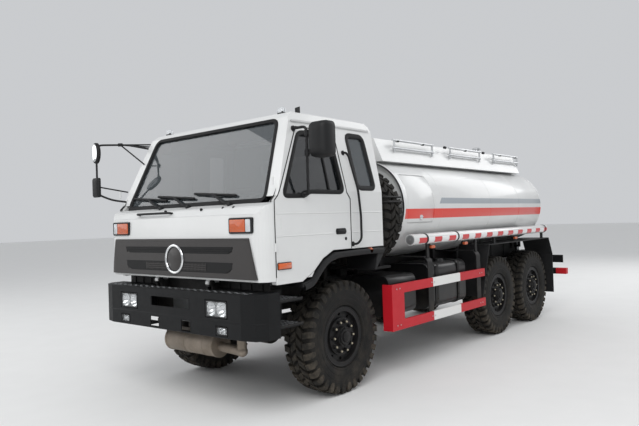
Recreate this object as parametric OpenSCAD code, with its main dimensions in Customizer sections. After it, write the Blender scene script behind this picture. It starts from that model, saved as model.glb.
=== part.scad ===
// Six-wheel-drive cab-over tanker truck. Millimetres, +Z up, front of the truck towards -Y,
// left side of the truck towards +X. The origin is on the ground under the middle of the truck.

/* [Overall] */
// Front axle to middle axle
wheelbase = 3500; // [3350:10:4200]
// Middle axle to rear axle
tandem_spacing = 1250; // [1180:10:1450]
// Front axle to the front face of the bumper
front_overhang = 1240; // [1215:5:1300]
// Rear axle to the back of the underrun bar
rear_overhang = 1470; // [1300:10:1700]
// Width over the side guards
body_w = 2340; // [2300:10:2550]

/* [Wheels] */
// Height of a tyre on the ground
tyre_d = 1085; // [1040:5:1130]
// Width of a tyre
tyre_w = 320; // [280:5:330]
// Tyre centre to tyre centre across the truck
track = 1820; // [1780:5:1950]
// Outer diameter of the rim flange
rim_d = 577; // [560:1:590]
// Diameter of the rim barrel that the tyre sits on
rim_seat_d = 508; // [500:1:514]
// Diameter of the wheel stud circle
stud_pcd = 285.75; // [270:0.25:335]
// Number of wheel studs
stud_count = 10; // [8, 10]
// Diameter of a brake drum
drum_d = 420; // [380:5:440]
// Sideways distance from kingpin to tyre centre
kingpin_offset = 130; // [110:5:150]

/* [Frame] */
// Width over the frame rails
frame_w = 850; // [800:10:865]
// Height of the top of the frame rails
frame_top_z = 1020; // [1000:5:1040]
// Depth of a frame rail
rail_h = 240; // [200:5:260]
// Flange width of a frame rail
rail_flange = 80; // [60:5:90]
// Plate thickness of a frame rail
rail_t = 10; // [6:1:12]

/* [Cab] */
// Width of the cab at the doors
cab_w = 2310; // [2260:10:2400]
// Width of the cab at the roof gutter
cab_roof_w = 2080; // [1980:10:2140]
// Front axle to the front face of the cab
cab_front = 1150; // [1130:5:1170]
// Front axle to the back of the cab
cab_back = 555; // [500:5:600]
// Height of the roof
roof_z = 2690; // [2600:10:2800]
// Height of the window sill line
sill_z = 1900; // [1850:10:1950]
// Height of the lower edge of the front panel and doors
skirt_z = 1170; // [1165:5:1200]
// Thickness of the cab walls
wall_t = 45; // [30:1:60]
// Thickness of a door
door_t = 60; // [45:1:65]
// Length of a door along the truck
door_l = 1020; // [960:10:1050]
// Gap round a door
door_gap = 6; // [5:1:10]
// Gap behind a door, where its thick edge swings past the pillar
door_rear_gap = 12; // [12:1:16]
// Thickness of the glass
glass_t = 6; // [4:1:10]

/* [Tank] */
// Width of the tank
tank_w = 2240; // [2100:10:2300]
// Height of the tank
tank_h = 1280; // [1200:10:1320]
// Length of the tank
tank_l = 3970; // [3600:10:4000]
// Height of the middle of the tank
tank_mid_z = 1790; // [1770:5:1850]
// Radius of the tank's sides
tank_side_r = 520; // [480:5:560]
// Front axle to the front of the tank
tank_front = 1030; // [1020:5:1120]
// Width of the raised deck on the tank, at its top
deck_w = 1480; // [1300:10:1560]
// Height of the raised deck above the top of the tank
deck_h = 140; // [100:5:180]
// Diameter of a manhole lid
lid_d = 560; // [450:10:600]
// Thickness of a manhole lid
lid_t = 22; // [15:1:30]

/* [Bumper] */
// Width of the bumper
bumper_w = 2330; // [2250:10:2400]
// Height of the bumper
bumper_h = 380; // [340:5:400]
// Height of the bumper's lower edge
bumper_low_z = 700; // [660:5:720]
// Plate thickness of the bumper
bumper_t = 8; // [5:1:12]

/* [Running gear] */
// Diameter of an axle tube
axle_d = 150; // [120:5:160]
// Diameter of a differential housing
diff_d = 340; // [300:5:360]
// Diameter of a propeller shaft
prop_d = 100; // [80:5:120]
// Length of a steering arm
arm_l = 260; // [250:5:270]
// Diameter of the silencer
silencer_d = 240; // [200:5:250]

/* [Sides] */
// Height of the top of a side guard
guard_top_z = 970; // [940:5:980]
// Height of a side guard rail
guard_rail_h = 100; // [80:5:110]
// Diameter of the side tube
hose_tube_d = 120; // [100:5:130]
// Diameter of the fuel tank's rounded corners
fuel_round_d = 160; // [100:10:220]

/* [Hidden] */
overall_l = front_overhang + wheelbase + tandem_spacing + rear_overhang;
fa = front_overhang - overall_l / 2;   // y of the front axle
ma = fa + wheelbase;                   // y of the middle axle
ra = ma + tandem_spacing;              // y of the rear axle
hub_z = tyre_d / 2;
kingpin_x = track / 2 - kingpin_offset;
tie_x = track / 2 - tyre_w / 2 - 50;   // ball joint of the tie rod, clear of the tyre
frame_low_z = frame_top_z - rail_h;
cab_y0 = fa - cab_front;
cab_y1 = fa + cab_back;
door_y0 = fa - 1000;                   // front edge of the doors, which is their hinge line
door_y1 = door_y0 + door_l;
tilt_y = fa - 1075;
tilt_z = 1135;
tank_y0 = fa + tank_front;
tank_y1 = tank_y0 + tank_l;
tank_top_z = tank_mid_z + tank_h / 2;
tank_low_z = tank_mid_z - tank_h / 2;
deck_z = tank_top_z + deck_h;
bumper_y = fa - front_overhang;
deck_flare = 120;                      // how much wider the deck is at its foot, on each side
deck_skirt = 130;                      // how far the deck reaches down over the tank
front_lid_y = tank_y0 + 1100;
rear_lid_y = tank_y0 + 2600;
lid_hinge_gap = 32;
lid_hinge_z = deck_z + 60 + lid_t / 2;
guard_x = body_w / 2;
tube_x = guard_x - 60;
tube_z = 1415;
guard_y0 = fa + 660;
guard_y1 = ma - hub_z - 130;
spare_x = 600;                         // middle of the spare wheel
spare_y = fa + 825;
spare_z = 1690;
wheel_x = 660;                         // middle of the steering wheel
wheel_y = fa - 640;
wheel_z = 1830;
wheel_lean = 25;                       // lean of the steering wheel, in degrees
screen_low_x = cab_w / 2 - 135;        // lower and upper corners of the windscreen
screen_high_x = cab_roof_w / 2 - 135;
screen_low_z = 1850;
screen_high_z = 2570;
round_fn = 64;
small_fn = 32;
skin_gap = 0.3;                        // clearance between faces that meet

white = "#e4e4e2";
black = "#1c1c1e";
frame_grey = "#2b2c2e";
red = "#c8202a";
steel = "#9a9c9e";

// ---------- helpers ----------

// Box given by its low corner and its high corner.
module box(low, high) {
  translate(low) cube(high - low);
}

// Cylinder along X from x0 to x1.
module bar_x(x0, x1, y, z, d, fn = small_fn) {
  translate([x0, y, z]) rotate([0, 90, 0]) cylinder(h = x1 - x0, d = d, $fn = fn);
}

// Cylinder along Y from y0 to y1.
module bar_y(y0, y1, x, z, d, fn = small_fn) {
  translate([x, y0, z]) rotate([-90, 0, 0]) cylinder(h = y1 - y0, d = d, $fn = fn);
}

// Cylinder along Z from z0 to z1.
module bar_z(z0, z1, x, y, d, fn = small_fn) {
  translate([x, y, z0]) cylinder(h = z1 - z0, d = d, $fn = fn);
}

// Round bar between two points.
module rod(p, q, d) {
  v = q - p;
  len_v = norm(v);
  translate(p) rotate([0, acos(v[2] / len_v), atan2(v[1], v[0])]) cylinder(h = len_v, d = d, $fn = 16);
}

// Bent round bar through a list of points, with a slightly larger ball at each bend.
module bent_rod(points, d) {
  for (i = [0 : len(points) - 2]) rod(points[i], points[i + 1], d);
  for (i = [1 : len(points) - 2]) translate(points[i]) sphere(d = d * 1.15, $fn = 16);
}

// Both sides of the truck.
module both_sides() {
  children();
  mirror([1, 0, 0]) children();
}

// Outline drawn in the Y-Z plane, extruded along X from x0 to x1.
module side_extrude(x0, x1) {
  translate([x0, 0, 0]) rotate([90, 0, 90]) linear_extrude(height = x1 - x0) children();
}

// Outline drawn in the X-Z plane, extruded along Y from y0 to y1.
module front_extrude(y0, y1) {
  translate([0, y1, 0]) rotate([90, 0, 0]) linear_extrude(height = y1 - y0) children();
}

// Points on an arc, for outlines.
function arc(cx, cy, r, a0, a1, n) = [for (i = [0 : n]) [cx + r * cos(a0 + (a1 - a0) * i / n),
                                                       cy + r * sin(a0 + (a1 - a0) * i / n)]];

// Rectangle with round corners, from plain circles and squares.
module round_rect(w, h, r) {
  translate([-w / 2 + r, -h / 2]) square([w - 2 * r, h]);
  translate([-w / 2, -h / 2 + r]) square([w, h - 2 * r]);
  for (sx = [-1, 1], sy = [-1, 1]) translate([sx * (w / 2 - r), sy * (h / 2 - r)]) circle(r = r, $fn = small_fn);
}

// ---------- wheels ----------

// Half outline of the tyre as radius and sideways place.
function tyre_outline() = let (r = tyre_d / 2, w = tyre_w / 2, b = rim_seat_d / 2 + skin_gap, f = rim_d / 2 + 2)
  [[b, -w + 46], [f, -w + 46], [f + 12, -w + 18], [f + 70, -w], [r - 90, -w], [r - 34, -w + 12],
   [r - 10, -w + 24], [r, -w + 46], [r, w - 46], [r - 10, w - 24], [r - 34, w - 12], [r - 90, w],
   [f + 70, w], [f + 12, w - 18], [f, w - 46], [b, w - 46]];

module tyre(x, y) {
  color(black)
    translate([x, y, hub_z]) rotate([0, 90, 0])
      rotate_extrude($fn = round_fn) polygon(tyre_outline());
}

// Rim with flanges, dished disc, hub and studs; the disc faces +X when side is 1.
module rim(x, y, side) {
  seat_r = rim_seat_d / 2;
  half_w = tyre_w / 2 - 46;
  flange_t = 12;
  color("#26272a")
    translate([x, y, hub_z]) rotate([0, 90 * side, 0])
      difference() {
        union() {
          rotate_extrude($fn = round_fn) polygon([
            [seat_r - 14, -half_w + 1], [seat_r, -half_w + 1], [seat_r, half_w - 1], [seat_r - 14, half_w - 1]]);
          for (s = [-1, 1]) translate([0, 0, s > 0 ? half_w + 1 : -half_w - 1 - flange_t])
            difference() {
              cylinder(h = flange_t, d = rim_d, $fn = round_fn);
              translate([0, 0, -1]) cylinder(h = flange_t + 2, r = seat_r - 14, $fn = round_fn);
            }
          for (s = [-1, 1]) translate([0, 0, s > 0 ? half_w - 1.5 : -half_w - 1])
            difference() {
              cylinder(h = 2.5, r = seat_r, $fn = round_fn);
              translate([0, 0, -1]) cylinder(h = 5, r = seat_r - 14, $fn = round_fn);
            }
          translate([0, 0, 68]) cylinder(h = 14, r = seat_r - 13, $fn = round_fn);
          difference() {
            translate([0, 0, -45]) cylinder(h = 114, d = drum_d, $fn = round_fn);
            translate([0, 0, -46]) cylinder(h = 108, d = drum_d - 60, $fn = round_fn);
          }
          translate([0, 0, 81]) cylinder(h = 26, d = stud_pcd + 70, $fn = round_fn);
          translate([0, 0, 106]) cylinder(h = 40, d = 190, $fn = round_fn);
          translate([0, 0, 145]) cylinder(h = 18, d = 150, $fn = round_fn);
          for (i = [0 : stud_count - 1]) rotate([0, 0, (i + 0.5) * 360 / stud_count])
            translate([stud_pcd / 2, 0, 106]) cylinder(h = 26, d = 32, $fn = small_fn);
        }
        for (i = [0 : stud_count - 1]) rotate([0, 0, i * 360 / stud_count])
          translate([stud_pcd / 2 + 70, 0, 60]) cylinder(h = 30, d = 34, $fn = small_fn);
      }
}

// ---------- frame and running gear ----------

module rail(x, side) {
  x0 = side > 0 ? x - rail_flange : x;
  difference() {
    box([x0, fa - 1080, frame_low_z], [x0 + rail_flange, ra + rear_overhang - 110, frame_top_z]);
    translate([side > 0 ? x0 - 1 : x0 + rail_t, fa - 1090, frame_low_z + rail_t])
      cube([rail_flange - rail_t + 1, overall_l, rail_h - 2 * rail_t]);
  }
}

// Front tow eye: a plate with an upright pin hole, ahead of the rail's end.
module tow_eye(x) {
  difference() {
    union() {
      box([x - 45, fa - 1150, 745], [x + 45, fa - 1079, 785]);
      bar_z(745, 785, x, fa - 1150, 90);
      box([x - 45, fa - 1082, 745], [x + 45, fa - 1060, frame_low_z + 60]);
    }
    bar_z(740, 790, x, fa - 1150, 42);
  }
}

module chassis_frame() {
  inner = frame_w - 2 * rail_t;
  color(frame_grey) {
    both_sides() {
      rail(frame_w / 2, 1);
      tow_eye(frame_w / 2 - 190);
      box([frame_w / 2 - 240, fa - 1070, frame_low_z + 20], [frame_w / 2 - 5, fa - 1060, frame_top_z - 20]);
      // cab pivot bracket
      difference() {
        union() {
          box([frame_w / 2 - 80, fa - 1078, frame_top_z - 5], [frame_w / 2 - 68, fa - 990, tilt_z]);
          box([frame_w / 2 - 12, fa - 1078, frame_top_z - 5], [frame_w / 2, fa - 990, tilt_z]);
          translate([frame_w / 2 - 80, tilt_y, tilt_z]) rotate([0, 90, 0]) cylinder(h = 12, d = 56, $fn = small_fn);
          translate([frame_w / 2 - 12, tilt_y, tilt_z]) rotate([0, 90, 0]) cylinder(h = 12, d = 56, $fn = small_fn);
        }
        bar_x(frame_w / 2 - 90, frame_w / 2 + 10, tilt_y, tilt_z, 31);
      }
      // leg of the rear cab rest
      box([frame_w / 2 - 70, fa + 470, frame_top_z + skin_gap], [frame_w / 2 - 5, fa + 530, 1240]);
    }
    // cross-members
    for (y = [fa - 900, fa + 1080, fa + 1640, ma - 560, ma + tandem_spacing / 2, ra + 560, ra + rear_overhang - 160])
      box([-inner / 2 + skin_gap, y - 30, frame_top_z - 90], [inner / 2 - skin_gap, y + 30, frame_top_z - 20]);
    // pins of the cab pivot
    both_sides() bar_x(frame_w / 2 - 84, frame_w / 2 + 4, tilt_y, tilt_z, 30.8);
    // rear cab rest with a pad under each side of the cab
    box([-560, fa + 475, 1235], [560, fa + 525, 1300]);
    both_sides() box([450, fa + 470, 1295], [550, fa + 530, 1380]);
  }
}

// Axle tube that swells into the differential housing in the middle.
module axle_housing(y, half_l) {
  r = axle_d / 2;
  big_r = diff_d / 2;
  translate([0, y, hub_z]) rotate([0, 90, 0])
    rotate_extrude($fn = round_fn) polygon([
      [0, -half_l], [r, -half_l], [r, -big_r - 60], [big_r * 0.75, -big_r * 0.75], [big_r, -70],
      [big_r, 70], [big_r * 0.75, big_r * 0.75], [r, big_r + 60], [r, half_l], [0, half_l]]);
}

module front_axle() {
  color(frame_grey) {
    axle_housing(fa, kingpin_x - 60);
    bar_y(fa + 40, fa + diff_d / 2 + 60, 0, hub_z, 130, round_fn);
    // kingpin eyes at the ends of the beam
    both_sides()
      difference() {
        union() {
          bar_z(hub_z - 75, hub_z + 75, kingpin_x, fa, 90);
          box([kingpin_x - 100, fa - 42, hub_z - 50], [kingpin_x, fa + 42, hub_z + 50]);
        }
        bar_z(hub_z - 80, hub_z + 80, kingpin_x, fa, 44);
      }
    // spring seats
    both_sides() box([300, fa - 60, hub_z + 60], [400, fa + 60, hub_z + 95]);
  }
}

module rear_axles() {
  half_l = track / 2 - tyre_w / 2 - 60;
  color(frame_grey)
    for (y = [ma, ra]) {
      axle_housing(y, half_l);
      bar_y(y - diff_d / 2 - 60, y - 40, 0, hub_z, 130, round_fn);
      both_sides() {
        bar_x(half_l - 20, track / 2 + 60, y, hub_z, 100);
        box([430, y - 55, hub_z + 60], [520, y + 55, hub_z + 90]);
      }
    }
}

// Stack of leaves; each leaf is shorter than the one above it.
module leaf_stack(x, y, z_top, half_l, leaves, leaf_w, leaf_t) {
  for (i = [0 : leaves - 1])
    box([x - leaf_w / 2, y - half_l * (1 - i * 0.11), z_top - (i + 1) * leaf_t - 0.01],
        [x + leaf_w / 2, y + half_l * (1 - i * 0.11), z_top - i * leaf_t]);
}

module leaf_springs() {
  front_leaf_top = hub_z + 95 + 6 * 14 + skin_gap;
  tandem_y = (ma + ra) / 2;
  color(frame_grey)
    both_sides() {
      // front spring with a shackle at each end
      leaf_stack(350, fa, front_leaf_top, 640, 6, 80, 14);
      for (s = [-1, 1]) box([320, fa + s * 610 - 25, front_leaf_top - 1], [380, fa + s * 610 + 25, frame_low_z - skin_gap]);
      // tandem spring lies on both axles and turns on the trunnion between them
      leaf_stack(475, tandem_y, hub_z + 90 + 9 * 18 + skin_gap, tandem_spacing / 2 + 60, 5, 90, 18);
      for (s = [-1, 1]) box([430, tandem_y + s * tandem_spacing / 2 - 50, hub_z + 90 + skin_gap],
                            [520, tandem_y + s * tandem_spacing / 2 + 50, hub_z + 90 + 8 * 18 + skin_gap + 1]);
      bar_x(frame_w / 2 + skin_gap, 520, tandem_y, hub_z + 200, 130);
    }
}

module driveline() {
  case_y = fa + 1350;
  color(frame_grey) {
    // gearbox behind the engine
    box([-190, fa + 425, 740], [190, fa + 980, 1000]);
    bar_y(fa + 960, case_y - 130, 0, 840, prop_d);
    // transfer case
    box([-230, case_y - 150, 520], [230, case_y + 150, 900]);
    // shaft to the front axle
    rod([0, fa + diff_d / 2 + 68, hub_z], [0, case_y - 130, 620], prop_d * 0.8);
    // shaft to the middle axle, and the short shaft between the rear axles
    rod([0, case_y + 130, 620], [0, ma - diff_d / 2 - 70, hub_z], prop_d);
    bar_y(ma + diff_d / 2 + 6, ra - diff_d / 2 - 66, 0, hub_z, prop_d);
  }
}

module engine() {
  color(steel) box([-330, fa - 540, 790], [330, fa + 420, 1470]);
}

module silencer() {
  y = fa - 760;
  color("#8b8a86") {
    bar_x(-600, 140, y, 500, silencer_d, round_fn);
    // flexible pipe up to the engine, and the tail pipe
    bent_rod([[100, y, 485], [440, y, 470], [430, y, 690], [260, y, 735], [250, fa - 600, 860]], 90);
    bar_x(-700, -580, y, 485, 80);
  }
}

// ---------- tanks and boxes under the sides ----------

module fuel_tank() {
  y0 = fa + 1560;
  y1 = fa + 2480;
  color("#222326") {
    translate([0, y1, 0]) translate([790, 0, 855]) rotate([90, 0, 0])
      linear_extrude(height = y1 - y0) round_rect(560, 520, fuel_round_d / 2);
    bar_z(1110, 1150, 960, fa + 2000, 110);
    for (y = [y0 + 160, y1 - 220]) translate([790, y + 60, 855]) rotate([90, 0, 0])
      linear_extrude(height = 60) difference() {
        round_rect(576, 536, fuel_round_d / 2 + 8);
        round_rect(561, 521, fuel_round_d / 2 + 0.5);
      }
    // brackets from the frame
    for (y = [y0 + 160, y1 - 220]) box([frame_w / 2 + skin_gap, y, 800], [511, y + 60, 1000]);
  }
}

module side_boxes() {
  color("#1f2022") {
    // rounded reservoir ahead of the fuel tank, on the left
    translate([800, 0, 830])
      front_extrude(fa + 760, fa + 1300) round_rect(520, 430, fuel_round_d / 2);
    box([frame_w / 2 + skin_gap, fa + 900, 820], [541, fa + 1160, 960]);
    // battery box on the right
    box([-1060, fa + 720, 640], [-520, fa + 1400, 1000]);
    box([-521, fa + 900, 820], [-frame_w / 2 - skin_gap, fa + 1200, 960]);
    // valve cabinet on the right
    box([-1080, fa + 1580, 620], [-520, fa + 2480, 1120]);
    box([-521, fa + 1800, 820], [-frame_w / 2 - skin_gap, fa + 2200, 960]);
  }
}

// ---------- front ----------

// Plan outline of the bumper, its corners cut back and its edges moved in by inset.
function bumper_plan(inset) = let (w = bumper_w / 2 - inset, y = bumper_y + inset)
  [[-w, y + 260], [-w, y + 120], [-w + 70, y + 34], [-w + 200, y], [w - 200, y], [w - 70, y + 34],
   [w, y + 120], [w, y + 260]];

module front_bumper() {
  z0 = bumper_low_z;
  z1 = bumper_low_z + bumper_h;
  color(black)
    difference() {
      translate([0, 0, z0]) linear_extrude(height = bumper_h) polygon(bumper_plan(0));
      translate([0, 0, z0 + bumper_t]) linear_extrude(height = bumper_h - 2 * bumper_t)
        polygon(concat(bumper_plan(bumper_t), [[bumper_w / 2 - bumper_t, bumper_y + 300], [-bumper_w / 2 + bumper_t, bumper_y + 300]]));
      // slot in the middle
      box([-280, bumper_y - 5, 910], [280, bumper_y + 30, 1010]);
      // tow openings
      both_sides() box([175, bumper_y - 5, 715], [300, bumper_y + 30, 810]);
      // lamp holes
      both_sides() {
        box([515, bumper_y - 5, 862], [800, bumper_y + 30, 1016]);
        box([650, bumper_y - 5, 716], [800, bumper_y + 30, 800]);
      }
      // the plate under the bumper is open over the frame's end
      box([-frame_w / 2 - 20, bumper_y + 60, z0 - 5], [frame_w / 2 + 20, bumper_y + 300, z0 + 20]);
      box([-frame_w / 2 - 20, bumper_y + 100, z1 - 20], [frame_w / 2 + 20, bumper_y + 300, z1 + 5]);
    }
  // lugs along the outside of the frame rails
  color(black)
    both_sides()
      box([frame_w / 2 + skin_gap, bumper_y + bumper_t - 1, z0 + 90], [frame_w / 2 + 14, bumper_y + 259, z1 - 90]);
}

module chassis_lamps() {
  tail_y = ra + rear_overhang - 98;
  // head lamps and fog lamps
  color("#dfe4e8")
    both_sides() {
      box([519, bumper_y, 866], [796, bumper_y + 90, 1012]);
      box([654, bumper_y, 720], [796, bumper_y + 70, 796]);
    }
  // rear lamps
  color(red)
    both_sides() box([700, tail_y + 0.3, 815], [1040, tail_y + 35, 915]);
  // side marker lamps under the side tube
  color("orange")
    both_sides()
      for (y = [fa + 1590, fa + 2400, fa + 3960])
        box([1080, y - 40, 1300], [1140, y + 40, 1353]);
}

module cab_steps() {
  color(black)
    both_sides() {
      // upper and lower tread
      box([880, fa - 1010, 985], [1150, fa - 690, 1010]);
      box([880, fa - 1010, 770], [1150, fa - 690, 795]);
      // side plates
      box([880, fa - 1010, 750], [900, fa - 690, 1060]);
      box([880, fa - 1018, 750], [1100, fa - 1010 + 0.5, 1060]);
      // arm from the frame
      box([frame_w / 2 + skin_gap, fa - 960, 880], [881, fa - 900, 960]);
    }
}

module air_intake() {
  color(black) {
    // filter can behind the cab on the right, with its upright duct
    bar_z(1150, 1700, -700, fa + 800, 330, round_fn);
    bar_z(1699, 2300, -700, fa + 800, 160, round_fn);
    bar_z(2299, 2420, -700, fa + 800, 240, round_fn);
    box([-760, fa + 760, frame_top_z + skin_gap], [-frame_w / 2 + 75, fa + 840, 1160]);
  }
}

// ---------- spare wheel ----------
module spare_tyre() {
  color(black) translate([spare_x, spare_y, spare_z]) rotate([90, 0, 0])
    rotate_extrude($fn = round_fn) polygon(tyre_outline());
}

module spare_rim() {
  color("#b9bbbd") translate([spare_x, spare_y, spare_z]) rotate([-90, 0, 0]) rotate([0, -90, 0])
    translate([0, 0, -hub_z]) rim(0, 0, 1);
}

module spare_carrier() {
  z_low = spare_z - tyre_d / 2;
  back_y = spare_y + tyre_w / 2 + 8;
  color(black) {
    // shelf under the tyre on a post from the frame rail
    box([frame_w / 2 - 75, spare_y - 140, z_low - 30], [spare_x + 330, back_y + 20, z_low - 1]);
    box([frame_w / 2 - 75, spare_y - 60, frame_top_z + skin_gap], [frame_w / 2 - 5, spare_y + 60, z_low - 29]);
    // mast behind the tyre
    box([spare_x - 110, back_y, z_low - 2], [spare_x + 110, back_y + 20, spare_z + 120]);
  }
}

// ---------- tank ----------

// Oval from four arcs: big arcs above and below, small arcs at the sides.
function oval_top_r(w, h, r) = (pow(w / 2 - r, 2) + pow(h / 2, 2) - pow(r, 2)) / (2 * (h / 2 - r));

module oval(w, h, r) {
  top_r = oval_top_r(w, h, r);
  drop = top_r - h / 2;
  side_x = w / 2 - r;
  join_x = top_r * side_x / (top_r - r);
  intersection() {
    translate([0, -drop]) circle(r = top_r, $fn = 180);
    translate([0, drop]) circle(r = top_r, $fn = 180);
    translate([-join_x, -h]) square([2 * join_x, 2 * h]);
  }
  for (s = [-1, 1]) translate([s * side_x, 0]) circle(r = r, $fn = 96);
}

module tank_oval(inset) {
  translate([0, tank_mid_z]) oval(tank_w - 2 * inset, tank_h - 2 * inset, tank_side_r - inset);
}

module tank_shell() {
  color(white)
    difference() {
      front_extrude(tank_y0, tank_y1) tank_oval(0);
      // the heads lie inside a rim
      front_extrude(tank_y0 - 10, tank_y0 + 45) tank_oval(24);
      front_extrude(tank_y1 - 45, tank_y1 + 10) tank_oval(24);
      // recess of the cabinet on the left
      box([tank_w / 2 - 190, tank_y0 + 90, 1600], [tank_w / 2 + 10, tank_y0 + 650, 2145]);
      // wells under the manholes
      for (y = [front_lid_y, rear_lid_y]) translate([0, y, tank_top_z - 150]) cylinder(h = 200, d = lid_d - 60, $fn = round_fn);
    }
}

// Bracket that reaches out over the side tanks and down behind the guard rails, and carries the side tube.
module guard_bracket(y) {
  x_out = guard_x - 30 - skin_gap;
  r = 80;
  t = 12;
  z_top = 1210;
  z_end = guard_top_z - 480;
  front_extrude(y, y + 110)
    polygon(concat([[frame_w / 2 - 6, z_top]], arc(x_out - r, z_top - r, r, 90, 0, 8), [[x_out, z_end], [x_out - t, z_end]],
                   arc(x_out - r, z_top - r, r - t, 0, 90, 8), [[frame_w / 2 - 6, z_top - t]]));
  box([tube_x - 15, y + 30, z_top - t], [tube_x + 5, y + 80, tube_z - hose_tube_d / 2 - skin_gap]);
}

module tank_cradle() {
  color(black)
    difference() {
      // sills that lie on the frame rails, and cross-supports under the tank
      both_sides() {
        box([frame_w / 2 - 75, tank_y0 + 60, frame_top_z + skin_gap], [frame_w / 2 - 5, tank_y1 - 60, tank_low_z + 95]);
        for (y = [fa + 1450, fa + 2660]) guard_bracket(y);
        for (y = [tank_y0 + 100, tank_y0 + 1300, tank_y0 + 2500, tank_y1 - 160])
          box([frame_w / 2 - 70, y, tank_low_z - 30], [700, y + 60, tank_low_z + 200]);
      }
      front_extrude(tank_y0 - 10, tank_y1 + 10) tank_oval(-skin_gap);
    }
}

// Collar of a manhole, with the ears and pin of the lid's hinge.
module manhole_collar(y) {
  hinge_y = y - lid_d / 2 - lid_hinge_gap;
  difference() {
    translate([0, y, deck_z - 1]) cylinder(h = 61 - skin_gap, d = lid_d - 36, $fn = round_fn);
    translate([0, y, deck_z - 2]) cylinder(h = 80, d = lid_d - 60, $fn = round_fn);
  }
  for (s = [-1, 1]) box([s * 54 - 8, hinge_y - 18, deck_z - 1], [s * 54 + 8, hinge_y + 18, lid_hinge_z + 14]);
  bar_x(-60, 60, hinge_y, lid_hinge_z, 12);
}

module top_deck() {
  color(white) {
    difference() {
      front_extrude(tank_y0, tank_y1 - 150) polygon([
        [-deck_w / 2, deck_z], [deck_w / 2, deck_z], [deck_w / 2 + deck_flare, tank_top_z - deck_skirt],
        [-deck_w / 2 - deck_flare, tank_top_z - deck_skirt]]);
      front_extrude(tank_y0 - 1, tank_y1 + 1) tank_oval(-skin_gap);
      for (y = [front_lid_y, rear_lid_y]) translate([0, y, tank_top_z - 100]) cylinder(h = 400, d = lid_d - 60, $fn = round_fn);
    }
    manhole_collar(front_lid_y);
    manhole_collar(rear_lid_y);
  }
}

// Hand rails along the deck: three hoops on each side, each with two bars and two posts.
module tank_rails() {
  out = 80;
  post_r = 12;
  slope = (deck_h + deck_skirt) / deck_flare;
  x = deck_w / 2 + out;
  foot_z = deck_z - (out - post_r) * slope + 1;
  color(steel)
    both_sides()
      for (y = [tank_y0 + 270, tank_y0 + 1600, tank_y0 + 2930]) {
        for (z = [deck_z - 100, deck_z - 10]) bar_y(y, y + 920, x, z, 28, 16);
        for (p = [y + 30, y + 890]) bar_z(foot_z, deck_z + 2, x, p, 2 * post_r, 16);
      }
}

// Lid with a hinge barrel on its front edge.
module manhole_lid(y) {
  hinge_y = y - lid_d / 2 - lid_hinge_gap;
  color(steel)
    difference() {
      union() {
        translate([0, y, deck_z + 60]) cylinder(h = lid_t, d = lid_d, $fn = round_fn);
        box([-36, hinge_y, lid_hinge_z - 6], [36, hinge_y + 60, lid_hinge_z + 6]);
        bar_x(-38, 38, hinge_y, lid_hinge_z, 26);
      }
      bar_x(-45, 45, hinge_y, lid_hinge_z, 12.14);
    }
}

module cabinet_door() {
  color(white)
    intersection() {
      front_extrude(tank_y0 + 96, tank_y0 + 644) difference() {
        tank_oval(0);
        tank_oval(30);
      }
      box([tank_w / 2 - 300, tank_y0 + 90, 1606], [tank_w / 2 + 10, tank_y0 + 650, 2139]);
    }
}

module side_tubes() {
  color(white)
    both_sides() bar_y(tank_y0 + 110, ra + 380, tube_x, tube_z, hose_tube_d, round_fn);
}

module side_guards() {
  x0 = guard_x - 30;
  color(red)
    both_sides() {
      box([x0, guard_y0, guard_top_z - 480], [guard_x, guard_y0 + 230, guard_top_z]);
      box([x0 - 90, guard_y0, guard_top_z - 480], [x0 + 1, guard_y0 + 20, guard_top_z]);
      for (z = [guard_top_z - guard_rail_h, guard_top_z - 480])
        box([x0, guard_y0 + 229, z], [guard_x, guard_y1, z + guard_rail_h]);
    }
}

module rear_mudguards() {
  x0 = track / 2 - tyre_w / 2 - 40;
  x1 = guard_x - 20;
  y0 = ma - 520;
  y1 = ra + 520;
  z = 1270;
  color(black)
    both_sides() {
      side_extrude(x0, x1) polygon([
        [y0 - 180, 600], [y0 - 168, 600], [y0 + 60, z - 12], [y1 - 60, z - 12], [y1 + 88, 1000], [y1 + 88, 380],
        [y1 + 100, 380], [y1 + 100, 1003], [y1 - 52, z], [y0 + 52, z]]);
      for (y = [ma - 260, ra + 240]) {
        // arm from the frame, and the post that carries the side tube
        box([frame_w / 2 + skin_gap, y, 1130], [760, y + 40, 1160]);
        box([730, y, 1130], [760, y + 40, z - 1]);
        box([tube_x - 15, y, z - 1], [tube_x + 15, y + 40, tube_z - hose_tube_d / 2 - skin_gap]);
      }
    }
}

module rear_bumper() {
  y = ra + rear_overhang - 100;
  color(black) {
    box([-1100, y, 600], [1100, y + 100, 700]);
    // uprights at the ends of the frame rails, and the plates of the rear lamps
    both_sides() {
      box([frame_w / 2 - 60, y - 10 + skin_gap, 599], [frame_w / 2 - 10, y + 20, frame_top_z - 20]);
      box([frame_w / 2 - 60, y - 10 + skin_gap, 800], [1060, y + 2, 930]);
    }
  }
}

// Ladder up the rear of the tank to the deck.
module rear_ladder() {
  x0 = 330;
  x1 = 690;
  y = tank_y1 + 70;
  color(steel) {
    for (x = [x0, x1]) {
      bar_z(1080, deck_z - 40, x, y, 34, 16);
      box([x - 10, tank_y1 - 44, 1500], [x + 10, y, 1520]);
      box([x - 10, tank_y1 - 44, 2150], [x + 10, y, 2170]);
    }
    for (z = [1160 : 270 : 2300]) bar_x(x0, x1, y, z, 24, 16);
  }
}

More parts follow.
